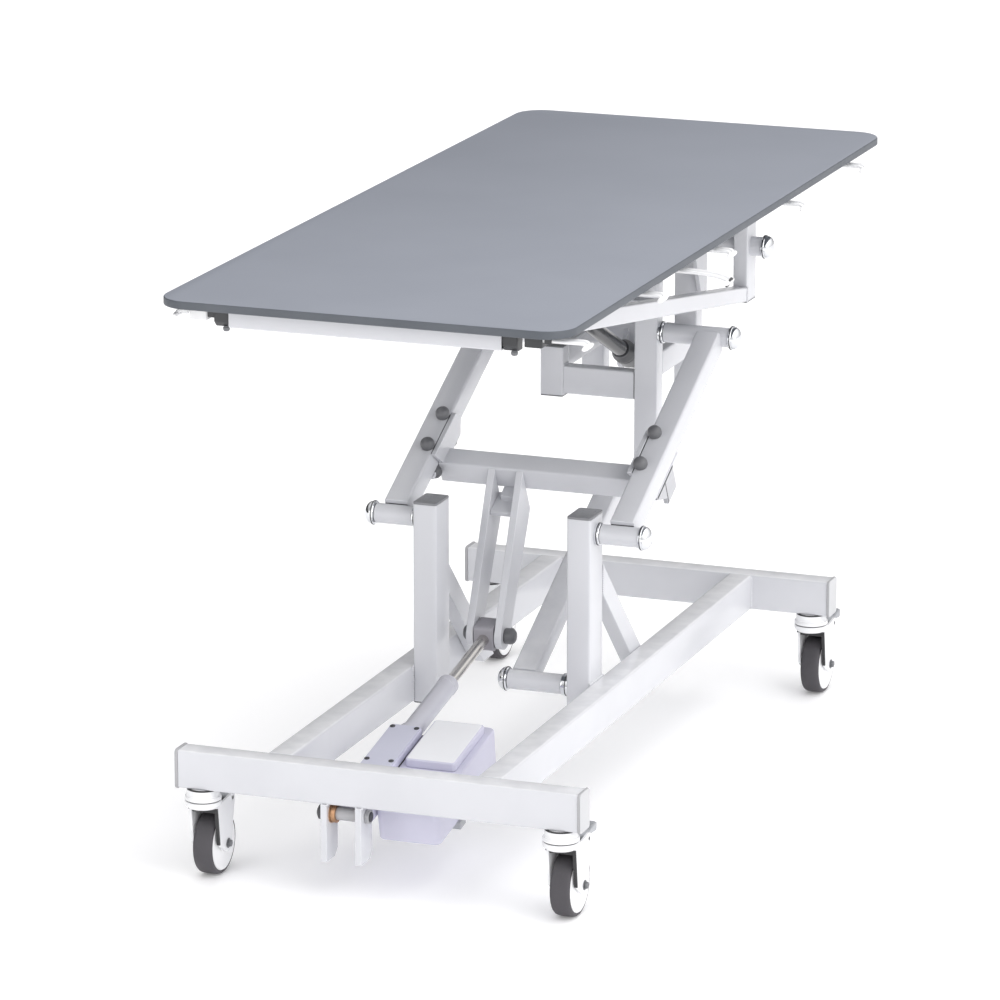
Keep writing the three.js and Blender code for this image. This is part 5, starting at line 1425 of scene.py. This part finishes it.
REAR_TIE_DEPTH = 0.028
REAR_TIE_HEIGHT = 0.040
tilt_tail = joint_place("tilt_actuator_swing")
rear_tie_y = carriage_pivot.y + REAR_SETBACK
rear_tie_z = node_box("carriage_rear_tie")[1].z - REAR_TIE_HEIGHT / 2
add_tube(
    "carriage_tie_rear", "carriage", "carriage_rear_tie",
    (-tie_end, rear_tie_y, rear_tie_z), (tie_end, rear_tie_y, rear_tie_z), (0, 1, 0),
    REAR_TIE_DEPTH, REAR_TIE_HEIGHT, wall=THIN_WALL, corner=THIN_CORNER,
)
tail_ears = bmesh.new()
pin_ears(tail_ears, (0, rear_tie_y, rear_tie_z), tilt_tail, 0.017)
add_coated("tilt_tail_ears", tail_ears, "carriage", bevel=0.0008)
weld("carriage_welds", carriage_seams, "carriage")

# Table frame: a sloping side bar each side, welded to an upright lug that turns on the tilt pin.
# Cross tubes join the sides at the front, in the middle and over the hinge.
LUG_WIDTH = 0.025
LUG_DEPTH = 0.048
TABLE_BAR_HEIGHT = 0.025
FRONT_TUBE = 0.028
CROSS_TUBE = 0.025
side_low = node_box("table_side_frame_right")[0]
front_tube_low, front_tube_high = node_box("table_front_tube")
board_under = front_tube_high.z + FACE_GAP
bar_front = side_low.y
bar_rear = hinge_pivot.y - LUG_DEPTH / 2
BAR_DROP = 0.183


def bar_under(y):
    """Height of the sloping bar's lower edge."""
    return board_under - FRONT_TUBE - BAR_DROP * (y - bar_front) / (bar_rear - bar_front)


table_seams = []
lug_feet = bmesh.new()
for side_name, side in SIDES.items():
    lug_place = (side * ARM_X, hinge_pivot.y)
    lug_foot = (*lug_place, side_low.z + FOOT_PLATE)
    add_tube(
        f"hinge_lug_{side_name}", "table", f"table_side_frame_{side_name}",
        lug_foot, (*lug_place, board_under - 0.0002), (1, 0, 0),
        LUG_WIDTH, LUG_DEPTH, wall=THIN_WALL, corner=THIN_CORNER,
    )
    square_tube(lug_feet, (*lug_place, side_low.z), lug_foot, (1, 0, 0), LUG_WIDTH, LUG_DEPTH,
                corner=THIN_CORNER, hollow=False)
    lug_sides = (side * ARM_X - LUG_WIDTH / 2, side * ARM_X + LUG_WIDTH / 2)
    add_plate(f"table_slope_bar_{side_name}", "table", (), 0.0022, [
        (bar_front, bar_under(bar_front) + FRONT_TUBE - 0.0004),
        (bar_front, bar_under(bar_front)),
        (bar_rear, bar_under(bar_rear)),
        (bar_rear, bar_under(bar_rear) + TABLE_BAR_HEIGHT),
        (bar_front + TABLE_BAR_HEIGHT, bar_under(bar_front) + FRONT_TUBE - 0.0004),
    ], *lug_sides)
    tilt_low, tilt_high = node_box(f"tilt_pin_{side_name}")
    sleeve_inner = min(abs(tilt_low.x), abs(tilt_high.x)) + SHORT_COLLAR + END_PLAY
    sleeve_outer = max(abs(tilt_low.x), abs(tilt_high.x)) - DOME_LENGTH - END_PLAY
    hinge_sleeve = bmesh.new()
    sleeve(hinge_sleeve, hinge_pivot, *span(side, sleeve_inner, sleeve_outer))
    add_coated(f"hinge_sleeve_{side_name}", hinge_sleeve, "table")
    for x in lug_sides:
        table_seams.append((
            (x, bar_rear, bar_under(bar_rear) + 0.002),
            (x, bar_rear, bar_under(bar_rear) + TABLE_BAR_HEIGHT - 0.002),
        ))
add_piece("hinge_lug_feet", lug_feet, dark_plug, "table")

front_tube_y = middle_of(front_tube_low, front_tube_high).y
cross_end = ARM_X - LUG_WIDTH / 2
for end_name, low_x, high_x, y, size in (
    ("front", front_tube_low.x, front_tube_high.x, front_tube_y, FRONT_TUBE),
    ("rear", -cross_end, cross_end, hinge_pivot.y, CROSS_TUBE),
):
    tube_z = board_under - size / 2
    add_tube(
        f"table_tube_{end_name}", "table", f"table_{end_name}_tube",
        (low_x, y, tube_z), (high_x, y, tube_z), (0, 1, 0),
        size, size - 0.0004, wall=THIN_WALL, corner=THIN_CORNER,
    )

tilt_along = joint_axis("tilt_rod_stroke")
TILT_HEAD = Vector((0, 0.060, board_under - 0.144))
MIDDLE_TUBE_AHEAD = 0.0405
middle_y = TILT_HEAD.y - MIDDLE_TUBE_AHEAD
middle_z = bar_under(middle_y) + TABLE_BAR_HEIGHT / 2
add_tube(
    "table_tube_middle", "table", "table_middle_tube",
    (-cross_end, middle_y, middle_z), (cross_end, middle_y, middle_z), (0, 1, 0),
    CROSS_TUBE, CROSS_TUBE, wall=THIN_WALL, corner=THIN_CORNER,
)
head_ears = bmesh.new()
pin_ears(head_ears, (0, middle_y, middle_z), TILT_HEAD, 0.0095)
add_coated("tilt_head_ears", head_ears, "table", bevel=0.0008)
for x in (-cross_end, cross_end):
    table_seams.append(((x, middle_y - 0.009, middle_z - CROSS_TUBE / 2),
                        (x, middle_y + 0.009, middle_z - CROSS_TUBE / 2)))
weld("table_frame_welds", table_seams, "table")

# Stop blocks: black moulded blocks on the ends of the front tube, under the board's front edge.
# The left one has a short tongue, and each has a grey knob bolt at its lower corner.
black_plastic = finish(
    "black_plastic", (0.045, 0.046, 0.050), (0.032, 0.033, 0.036), 0.42, 0.12, 800.0, 0.00008,
)
STOP_STEP = 0.008
STOP_TONGUE = 0.013
STOP_TONGUE_HEIGHT = 0.015
knobs = bmesh.new()
for side_name, side in SIDES.items():
    stop_low, stop_high = node_box(f"stop_block_{side_name}")
    stop = bmesh.new()
    flat_plate(stop, [
        (stop_low.y, stop_high.z),
        (stop_low.y, stop_low.z + STOP_STEP),
        (stop_low.y + STOP_STEP, stop_low.z),
        (stop_high.y, stop_low.z),
        (stop_high.y, stop_high.z),
    ], stop_low.x, stop_high.x)
    if side < 0:
        flat_plate(stop, [
            (stop_low.y + 0.002, stop_high.z - 0.0004),
            (stop_low.y + 0.002, stop_high.z - STOP_TONGUE_HEIGHT),
            (stop_high.y - 0.002, stop_high.z - STOP_TONGUE_HEIGHT),
            (stop_high.y - 0.002, stop_high.z - 0.0004),
        ], stop_low.x - STOP_TONGUE, stop_low.x + 0.002)
    add_piece(f"stop_moulding_{side_name}", stop, black_plastic, "table",
              [f"stop_block_{side_name}"], bevel=0.0018)
    knob_x = middle_of(stop_low, stop_high).x + 0.0045
    turned(knobs, (knob_x, stop_low.y + 0.009, stop_low.z + 0.0010), (0, 0, -1), [
        (0.0, 0.0038),
        (0.0018, 0.0042),
        (0.0022, 0.0052),
        (0.0055, 0.0052),
        (0.0075, 0.0040),
        (0.0082, 0.0020),
    ], steps=32)
add_piece("stop_knobs", knobs, end_cap_grey, "table")

# Table top: a 13 mm board of dense core with a fine-textured grey laminate face.
# The core shows as a darker edge all round, eased above and below.
BOARD_WIDTH = 0.650
BOARD_CORNER = 0.048
LAMINATE_THICKNESS = 0.0007
BOARD_EASE = 0.0018
EASE_STEPS = 5
laminate_grey = finish(
    "grey_laminate", (0.262, 0.280, 0.325), (0.251, 0.269, 0.313), 0.46, 0.10, 1500.0, 0.00005, mottle=5.0,
)
board_core = finish(
    "board_core", (0.092, 0.102, 0.118), (0.080, 0.090, 0.105), 0.50, 0.12, 900.0, 0.00006, mottle=14.0,
)
board_y = middle_of(*cad_box).y
board_length = cad_box[1].y - cad_box[0].y
board_top = node_box("table_top")[1].z


def eased_rim(eased, steps):
    """A quarter round as pairs of depth below the face and inset, from the side up to the face."""
    angles = [math.pi / 2 * i / steps for i in range(steps + 1)]
    return [(eased * (1 - math.sin(a)), eased * (1 - math.cos(a))) for a in angles]


def board_ring(z, inset):
    """The board's outline at a height, drawn in by an inset."""
    section = rounded_section(
        BOARD_WIDTH - 2 * inset, board_length - 2 * inset, BOARD_CORNER - inset, steps=20
    )
    return [Vector((u, board_y + v, z)) for u, v in section]


board = bmesh.new()
core_top = board_top - LAMINATE_THICKNESS
board_rim = eased_rim(BOARD_EASE, EASE_STEPS)
lower = [board_ring(board_under + depth, inset) for depth, inset in board_rim[::-1]]
upper = [board_ring(core_top - depth, inset) for depth, inset in board_rim]
loft(board, lower + upper)
add_piece("table_board_core", board, board_core, "table", ["table_top"])
face = bmesh.new()
loft(face, [
    board_ring(core_top - 0.0001, BOARD_EASE - 0.0004),
    board_ring(board_top - 0.0003, BOARD_EASE - 0.0004),
    board_ring(board_top, BOARD_EASE + 0.0003),
])
add_piece("table_laminate_face", face, laminate_grey, "table")

# Strap hooks: pairs of smooth rods with a white cross tip, sliding in blocks under the board's long
# edges, black on the right and pale on the left. Those on the right are pulled out, one of them
# further; those on the left are pushed in.
HOOK_PLACES = (-0.762, -0.424, -0.091, 0.286, 0.618)
LONG_HOOK_PLACE = -0.252
HOOK_REACH = 0.022
PUSHED_IN = 0.022
LONG_HOOK_REACH = 0.070
HOOK_WIRE = 0.003
HOOK_SPACING = 0.014
HOOK_ROOT = 0.061
HOOK_BLOCK = 0.028
HOOK_BEND = 0.011
LONG_HOOK_BEND = 0.080
HOOK_BELOW = 0.008
HOOK_DROP = 0.006
LONG_HOOK_DROP = 0.012
LONG_CLIP_FACING = (0.86, 0, -0.5)
LONG_CLIP_THICKNESS = 0.0034
LONG_CLIP_BORE = 0.0050
LONG_CLIP_RADIUS = 0.0088
HOLDER_DEPTH = 0.026
HOLDER_HEIGHT = 0.019
GUIDE_AHEAD = 0.0225
GUIDE_WIDTH = 0.011
GUIDE_DEPTH = 0.024
GUIDE_HEIGHT = 0.012
GUIDE_CORNER = 0.002
hook_rod = finish(
    "hook_rod", (0.80, 0.805, 0.815), (0.76, 0.765, 0.775), 0.24, 0.05, 300.0, 0.00001, metallic=0.15,
)
hook_tip = finish("hook_tip", (0.87, 0.87, 0.875), (0.84, 0.84, 0.85), 0.38, 0.08, 500.0, 0.00002)


def hook_tree():
    """Two bent rods for each place; the place's side of the board turns the hook."""
    tree, given = geometry_tree(
        "strap_hooks", ("Wire Radius", "Reach", "Root", "Bend", "Drop", "Prong Spacing")
    )
    half = worked_out(tree, "MULTIPLY", given.outputs["Prong Spacing"], 0.5)
    inward = worked_out(tree, "MULTIPLY", given.outputs["Root"], -1.0)
    fall = worked_out(tree, "MULTIPLY", given.outputs["Drop"], -1.0)
    knee = worked_out(tree, "SUBTRACT", given.outputs["Reach"], given.outputs["Bend"])
    ring = add_node(
        tree,
        "GeometryNodeCurvePrimitiveCircle",
        {"Resolution": 14, "Radius": given.outputs["Wire Radius"]},
        mode="RADIUS",
    )
    prongs = add_node(tree, "GeometryNodeJoinGeometry")
    for way in (1.0, -1.0):
        offset = worked_out(tree, "MULTIPLY", half, way)
        root, turn_in, corner, tip = (
            add_node(tree, "ShaderNodeCombineXYZ", {0: x, 1: offset, 2: z}).outputs[0]
            for x, z in (
                (inward, 0.0),
                (knee, 0.0),
                (given.outputs["Reach"], 0.0),
                (given.outputs["Reach"], fall),
            )
        )
        straight = add_node(tree, "GeometryNodeCurvePrimitiveLine", {"Start": root, "End": turn_in})
        bent = add_node(
            tree,
            "GeometryNodeCurveQuadraticBezier",
            {"Resolution": 12, "Start": turn_in, "Middle": corner, "End": tip},
        )
        for path in (straight, bent):
            wire = add_node(
                tree,
                "GeometryNodeCurveToMesh",
                {"Curve": path.outputs[0], "Profile Curve": ring.outputs[0], "Fill Caps": True},
            )
            tree.links.new(wire.outputs[0], prongs.inputs[0])
    place = add_node(tree, "GeometryNodeInputPosition").outputs[0]
    across = add_node(tree, "ShaderNodeSeparateXYZ", {0: place})
    on_left = worked_out(tree, "LESS_THAN", across.outputs["X"], 0.0)
    half_turn = worked_out(tree, "MULTIPLY", on_left, math.pi)
    turn = add_node(tree, "ShaderNodeCombineXYZ", {0: 0.0, 1: 0.0, 2: half_turn})
    hung = add_node(
        tree,
        "GeometryNodeInstanceOnPoints",
        {
            "Points": given.outputs["Geometry"],
            "Instance": prongs.outputs[0],
            "Rotation": turn.outputs[0],
        },
    )
    end_tree(tree, given, hung.outputs[0])
    return tree


HOOK_TREE = hook_tree()
hook_height = board_under - HOOK_BELOW
hook_tips = bmesh.new()
for row_name, side, places, reach, bend, drop in (
    ("strap_hooks_right", 1, HOOK_PLACES, HOOK_REACH, HOOK_BEND, HOOK_DROP),
    ("strap_hooks_left", -1, HOOK_PLACES, -PUSHED_IN, HOOK_BEND, HOOK_DROP),
    ("long_strap_hook", 1, (LONG_HOOK_PLACE,), LONG_HOOK_REACH, LONG_HOOK_BEND, LONG_HOOK_DROP),
):
    plain_mesh(
        row_name,
        [(side * BOARD_WIDTH / 2, y, hook_height) for y in places],
        [],
        HOOK_TREE,
        {
            "Wire Radius": HOOK_WIRE,
            "Reach": reach - HOOK_WIRE,
            "Root": HOOK_ROOT,
            "Bend": bend - HOOK_WIRE,
            "Drop": drop,
            "Prong Spacing": HOOK_SPACING,
        },
        hook_rod,
        "table",
    )
    tip_x = side * (BOARD_WIDTH / 2 + reach - HOOK_WIRE)
    for y in places:
        turned(hook_tips, (tip_x, y, hook_height - drop), (0, 1, 0), [
            (-0.0200, 0.0010),
            (-0.0190, 0.0026),
            (-0.0110, 0.0040),
            (0.0110, 0.0040),
            (0.0190, 0.0026),
            (0.0200, 0.0010),
        ], steps=20)
add_piece("hook_cross_tips", hook_tips, hook_tip, "table")
long_tip_x = BOARD_WIDTH / 2 + LONG_HOOK_REACH - HOOK_WIRE
add_turned("long_hook_clip", black_plastic, "table", "black_plastic", (),
           (long_tip_x - 0.001, LONG_HOOK_PLACE, hook_height - LONG_HOOK_DROP), LONG_CLIP_FACING,
           pipe(0.0, LONG_CLIP_THICKNESS, LONG_CLIP_BORE, LONG_CLIP_RADIUS), closed=True)
for side_name, places, material, slot in (
    ("left", HOOK_PLACES, hook_tip, "bright_steel"),
    ("right", (*HOOK_PLACES, LONG_HOOK_PLACE), black_plastic, "black_plastic"),
):
    side = SIDES[side_name]
    holder_x = side * (BOARD_WIDTH / 2 - HOOK_ROOT)
    guide_x = holder_x + side * GUIDE_AHEAD
    holder_top = board_under - 0.0002
    holders = bmesh.new()
    for y in places:
        for x, height, width, depth, corner in (
            (holder_x, HOLDER_HEIGHT, HOOK_BLOCK, HOLDER_DEPTH, TUBE_CORNER),
            (guide_x, GUIDE_HEIGHT, GUIDE_WIDTH, GUIDE_DEPTH, GUIDE_CORNER),
        ):
            square_tube(holders, (x, y, board_under - height), (x, y, holder_top), (1, 0, 0), width, depth,
                        corner=corner, hollow=False)
    add_piece(f"hook_holders_{side_name}", holders, material, "table")

# Lift actuator: a lilac-grey moulded gearbox that hangs in the clevis, with a screwed cover on top
# and a ram tube ahead of it. Everything on it is placed along the ram.
lift_along = joint_axis("lift_ram_stroke")
lift_up = Vector((1, 0, 0)).cross(lift_along)
lift_length = (lever_eye - lift_tail).dot(lift_along)
GEARBOX_START = 0.030
GEARBOX_LENGTH = 0.232
GEARBOX_WIDTH = 0.052
GEARBOX_ABOVE = 0.020
GEARBOX_BELOW = 0.030
RAM_TUBE_RADIUS = 0.016
RAM_TUBE_LENGTH = 0.183
RAM_RADIUS = 0.009
SLIDE_GAP = 0.0004
TAIL_EYE_BORE = 0.0085
TAIL_BLOCK = (0.030, 0.018)
lilac_plastic = finish(
    "lilac_plastic", (0.620, 0.612, 0.730), (0.592, 0.584, 0.700), 0.40, 0.08, 900.0, 0.00005,
)
lilac_cover = finish(
    "lilac_cover", (0.57, 0.575, 0.68), (0.54, 0.545, 0.65), 0.36, 0.08, 900.0, 0.00004,
)
tube_grey = finish("tube_grey", (0.52, 0.52, 0.57), (0.47, 0.47, 0.52), 0.34, 0.08, 900.0, 0.00003)


def on_lift(x, along, above):
    """A place given along the ram and square to it, from the tail bolt."""
    return lift_tail + Vector((x, 0, 0)) + lift_along * along + lift_up * above


def moulded_box(mesh, low, high, corner, eased, draft=0.0):
    """Moulding with rounded uprights and eased rims; its foot is drawn in by the draft."""
    width, length = high[0] - low[0], high[1] - low[1]
    middle = ((low[0] + high[0]) / 2, (low[1] + high[1]) / 2)

    def ring(above, inset):
        section = rounded_section(
            width - 2 * inset, length - 2 * inset, max(corner - inset, 0.0008), steps=8
        )
        return [on_lift(middle[0] + u, middle[1] + v, above) for u, v in section]

    rim = eased_rim(eased, 4)
    foot = [ring(low[2] + depth, draft + inset) for depth, inset in rim[::-1]]
    head = [ring(high[2] - depth, inset) for depth, inset in rim]
    loft(mesh, foot + head)


def add_moulding(name, material, slot, replaced, *shape, **kind):
    """One moulding as a piece of its own, on the actuator."""
    mesh = bmesh.new()
    moulded_box(mesh, *shape, **kind)
    add_piece(name, mesh, material, "lift_actuator", replaced)


gearbox = bmesh.new()
moulded_box(
    gearbox,
    (-GEARBOX_WIDTH / 2, GEARBOX_START, -GEARBOX_BELOW),
    (GEARBOX_WIDTH / 2, GEARBOX_START + GEARBOX_LENGTH, GEARBOX_ABOVE - 0.003),
    corner=0.006,
    eased=0.002,
)
square_tube(gearbox, on_lift(0, 0.006, 0), on_lift(0, GEARBOX_START + 0.004, 0), (1, 0, 0), *TAIL_BLOCK,
            hollow=False)
add_piece("actuator_gearbox", gearbox, lilac_plastic, "lift_actuator", ["lift_gearbox"])
for eye_name, low, high, radius, material in (
    ("bush", -0.0205, -0.0135, 0.0146, bronze),
    ("eye", -0.0135, 0.0205, 0.0100, cap_rim_grey_and_shade),
):
    add_turned(f"actuator_tail_{eye_name}", material, "lift_actuator", "bright_steel", (),
               lift_tail, (1, 0, 0), pipe(low, high, TAIL_EYE_BORE, radius), closed=True)
add_moulding(
    "actuator_cover", lilac_cover, "lilac_plastic", (),
    (-GEARBOX_WIDTH / 2 + 0.001, GEARBOX_START + 0.002, GEARBOX_ABOVE - 0.0028),
    (GEARBOX_WIDTH / 2 - 0.001, GEARBOX_START + GEARBOX_LENGTH - 0.002, GEARBOX_ABOVE),
    corner=0.005, eased=0.0008,
)
SCREW_ACROSS = 0.020
SCREW_PLACES = (0.142, 0.252)
SCREW_RADIUS = 0.0036
SCREW_HEIGHT = 0.0016
SCREW_WASHER = 0.0042
plain_mesh(
    "actuator_cover_screws",
    [
        tuple(on_lift(side * SCREW_ACROSS, along, GEARBOX_ABOVE + 0.0002))
        for side in SIDES.values()
        for along in SCREW_PLACES
    ],
    [],
    BOLT_TREE,
    {
        "Cap Radius": SCREW_RADIUS,
        "Cap Height": SCREW_HEIGHT,
        "Washer Radius": SCREW_WASHER,
        "Facing Y": lift_up.y,
        "Facing Z": lift_up.z,
    },
    dark_bolt,
    "lift_actuator",
)
tube_start = GEARBOX_START + GEARBOX_LENGTH
tube_end = tube_start + RAM_TUBE_LENGTH
ram_tube = [
    (tube_start - 0.004, RAM_RADIUS + SLIDE_GAP),
    (tube_start - 0.004, RAM_TUBE_RADIUS + 0.003),
    (tube_start + 0.010, RAM_TUBE_RADIUS + 0.003),
    (tube_start + 0.012, RAM_TUBE_RADIUS),
    (tube_end - 0.016, RAM_TUBE_RADIUS),
    (tube_end - 0.015, RAM_TUBE_RADIUS + 0.0008),
    (tube_end - 0.002, RAM_TUBE_RADIUS + 0.0008),
    (tube_end, RAM_TUBE_RADIUS - 0.0012),
    (tube_end, RAM_RADIUS + SLIDE_GAP),
]
add_turned("actuator_ram_tube", tube_grey, "lift_actuator", "lilac_plastic", ["lift_ram_tube"],
           lift_tail, lift_along, ram_tube, closed=True)

# Ram: a bright ground rod that slides out of the tube, with a grey eye block on its end.
RAM_INSIDE = 0.085
EYE_HALF = 0.021
EYE_WIDTH = 0.033
bright_steel = finish(
    "bright_steel", (0.66, 0.64, 0.61), (0.56, 0.54, 0.52), 0.20, 0.08, 250.0, 0.00002, metallic=1.0,
)
eye_grey = finish("eye_grey", (0.36, 0.35, 0.38), (0.31, 0.30, 0.33), 0.42, 0.12, 600.0, 0.00008)
add_turned("ram_rod", bright_steel, "lift_ram", "bright_steel", ["lift_ram"], lift_tail, lift_along, [
    (tube_end - RAM_INSIDE, RAM_RADIUS),
    (lift_length - EYE_HALF + 0.002, RAM_RADIUS),
])
eye_block = bmesh.new()
square_tube(
    eye_block,
    on_lift(-EYE_WIDTH / 2, lift_length, 0),
    on_lift(EYE_WIDTH / 2, lift_length, 0),
    lift_along,
    2 * EYE_HALF,
    2 * EYE_HALF,
    wall=EYE_HALF - 0.012,
    corner=0.006,
)
add_piece("ram_eye_block", eye_block, eye_grey, "lift_ram")

# Control box: a lilac moulding beside the gearbox with a raised lid that has a pale top plate,
# a black strip that paints the shade in the gap along the gearbox, and a small grey connector low on its
# right side.
CONTROL_WIDTH = 0.103
CONTROL_START = 0.048
CONTROL_LENGTH = 0.262
CONTROL_ABOVE = 0.005
CONTROL_BELOW = 0.066
LID_WIDTH = 0.082
LID_START = 0.155
LID_LENGTH = 0.135
LID_HEIGHT = 0.015
PLATE_INSET = 0.0028
CONNECTOR_ALONG = 0.136
CONNECTOR_SECTION = (0.024, 0.013)
control_low = GEARBOX_WIDTH / 2 + FACE_GAP
lid_left = control_low + CONTROL_WIDTH / 2 - LID_WIDTH / 2
lid_right = control_low + CONTROL_WIDTH / 2 + LID_WIDTH / 2
lid_top = CONTROL_ABOVE + LID_HEIGHT
add_moulding(
    "control_moulding", lilac_plastic, "lilac_plastic", ["control_box"],
    (control_low, CONTROL_START, -CONTROL_BELOW),
    (control_low + CONTROL_WIDTH, CONTROL_START + CONTROL_LENGTH, CONTROL_ABOVE),
    corner=0.012, eased=0.003, draft=0.001,
)
lid_white = finish("lid_white", (0.85, 0.855, 0.88), (0.82, 0.825, 0.85), 0.38, 0.08, 900.0, 0.00004)
add_moulding(
    "control_lid_moulding", lilac_plastic, "lilac_plastic", ["control_lid"],
    (lid_left, LID_START, CONTROL_ABOVE),
    (lid_right, LID_START + LID_LENGTH, lid_top - 0.0006),
    corner=0.006, eased=0.0022,
)
add_moulding(
    "control_lid_plate", lid_white, "lilac_plastic", (),
    (lid_left + PLATE_INSET, LID_START + PLATE_INSET, lid_top - 0.0012),
    (lid_right - PLATE_INSET, LID_START + LID_LENGTH - PLATE_INSET, lid_top),
    corner=0.004, eased=0.0004,
)
# A black strip in the gap beside the gearbox: painted shade.
add_moulding(
    "control_side_shade_strip", black_rubber_and_painted_shade, "charcoal_plastic", (),
    (control_low - 0.0010, CONTROL_START + 0.012, CONTROL_ABOVE - 0.006),
    (control_low + 0.0012, CONTROL_START + CONTROL_LENGTH - 0.050, CONTROL_ABOVE + 0.0006),
    corner=0.0009, eased=0.0002,
)
connector = bmesh.new()
square_tube(
    connector,
    on_lift(control_low + CONTROL_WIDTH - 0.016, CONNECTOR_ALONG, -CONTROL_BELOW - 0.004),
    on_lift(control_low + CONTROL_WIDTH + 0.004, CONNECTOR_ALONG, -CONTROL_BELOW - 0.004),
    lift_along,
    *CONNECTOR_SECTION,
    corner=0.002,
    hollow=False,
)
add_piece("control_connector", connector, pedal_grey, "lift_actuator")

# Tilt actuator: a slim dark steel tube with a charcoal motor end, between the carriage's rear tie
# and the table's middle tube. Its bright rod pushes the table up about the hinge.
TILT_BODY_RADIUS = 0.020
TILT_BODY_START = 0.024
TILT_BODY_LENGTH = 0.050
TILT_TUBE_RADIUS = 0.013
TILT_TUBE_LENGTH = 0.222
TILT_ROD_INSIDE = 0.100
TILT_EYE_RADIUS = 0.014
TILT_EYE_HALF = 0.015
OPEN_PIVOT_GAP = 0.0024
charcoal = finish(
    "charcoal_housing", (0.085, 0.086, 0.092), (0.065, 0.066, 0.071), 0.36, 0.08, 700.0, 0.00004,
)
tilt_steel = finish(
    "tilt_tube_steel", (0.062, 0.063, 0.067), (0.045, 0.046, 0.050), 0.20, 0.06, 400.0, 0.00001,
    metallic=0.3,
)
tilt_length = (TILT_HEAD - tilt_tail).dot(tilt_along)
body_end = TILT_BODY_START + TILT_BODY_LENGTH
tilt_tube_end = body_end + TILT_TUBE_LENGTH
tilt_body = bmesh.new()
turned(tilt_body, tilt_tail, tilt_along, [
    (0.008, TILT_EYE_RADIUS - 0.002),
    (0.014, TILT_EYE_RADIUS),
    (TILT_BODY_START - 0.002, TILT_BODY_RADIUS - 0.004),
    (TILT_BODY_START + 0.002, TILT_BODY_RADIUS),
    (TILT_BODY_START + 0.0300, TILT_BODY_RADIUS),
    (TILT_BODY_START + 0.0306, TILT_BODY_RADIUS - 0.001),
    (TILT_BODY_START + 0.0326, TILT_BODY_RADIUS - 0.001),
    (TILT_BODY_START + 0.0332, TILT_BODY_RADIUS),
    (body_end - 0.010, TILT_BODY_RADIUS),
    (body_end, TILT_TUBE_RADIUS + 0.002),
    (body_end + 0.006, TILT_TUBE_RADIUS + 0.002),
    (body_end + 0.007, TILT_TUBE_RADIUS - 0.001),
])
turned(tilt_body, tilt_tail, (1, 0, 0),
       pipe(-TILT_EYE_HALF, TILT_EYE_HALF, TIE_PIN_RADIUS + SLIDE_GAP, TILT_EYE_RADIUS), closed=True)
add_piece("tilt_motor_body", tilt_body, charcoal, "tilt_actuator",
          ["tilt_actuator_body"])
add_turned("tilt_outer_tube", tilt_steel, "tilt_actuator", "bright_steel", (), tilt_tail, tilt_along, [
    (body_end, RAM_RADIUS + SLIDE_GAP),
    (body_end, TILT_TUBE_RADIUS),
    (tilt_tube_end - 0.001, TILT_TUBE_RADIUS),
    (tilt_tube_end, TILT_TUBE_RADIUS - 0.001),
    (tilt_tube_end, RAM_RADIUS + SLIDE_GAP),
], closed=True)
tilt_rod = bmesh.new()
turned(tilt_rod, tilt_tail, tilt_along, [
    (tilt_tube_end - TILT_ROD_INSIDE, RAM_RADIUS),
    (tilt_length - TILT_EYE_RADIUS + 0.002, RAM_RADIUS),
])
turned(tilt_rod, TILT_HEAD, (1, 0, 0),
       pipe(-TILT_EYE_HALF, TILT_EYE_HALF, TIE_PIN_RADIUS + OPEN_PIVOT_GAP, TILT_EYE_RADIUS), closed=True)
add_piece("tilt_push_rod", tilt_rod, bright_steel, "tilt_rod", ["tilt_actuator_rod"])
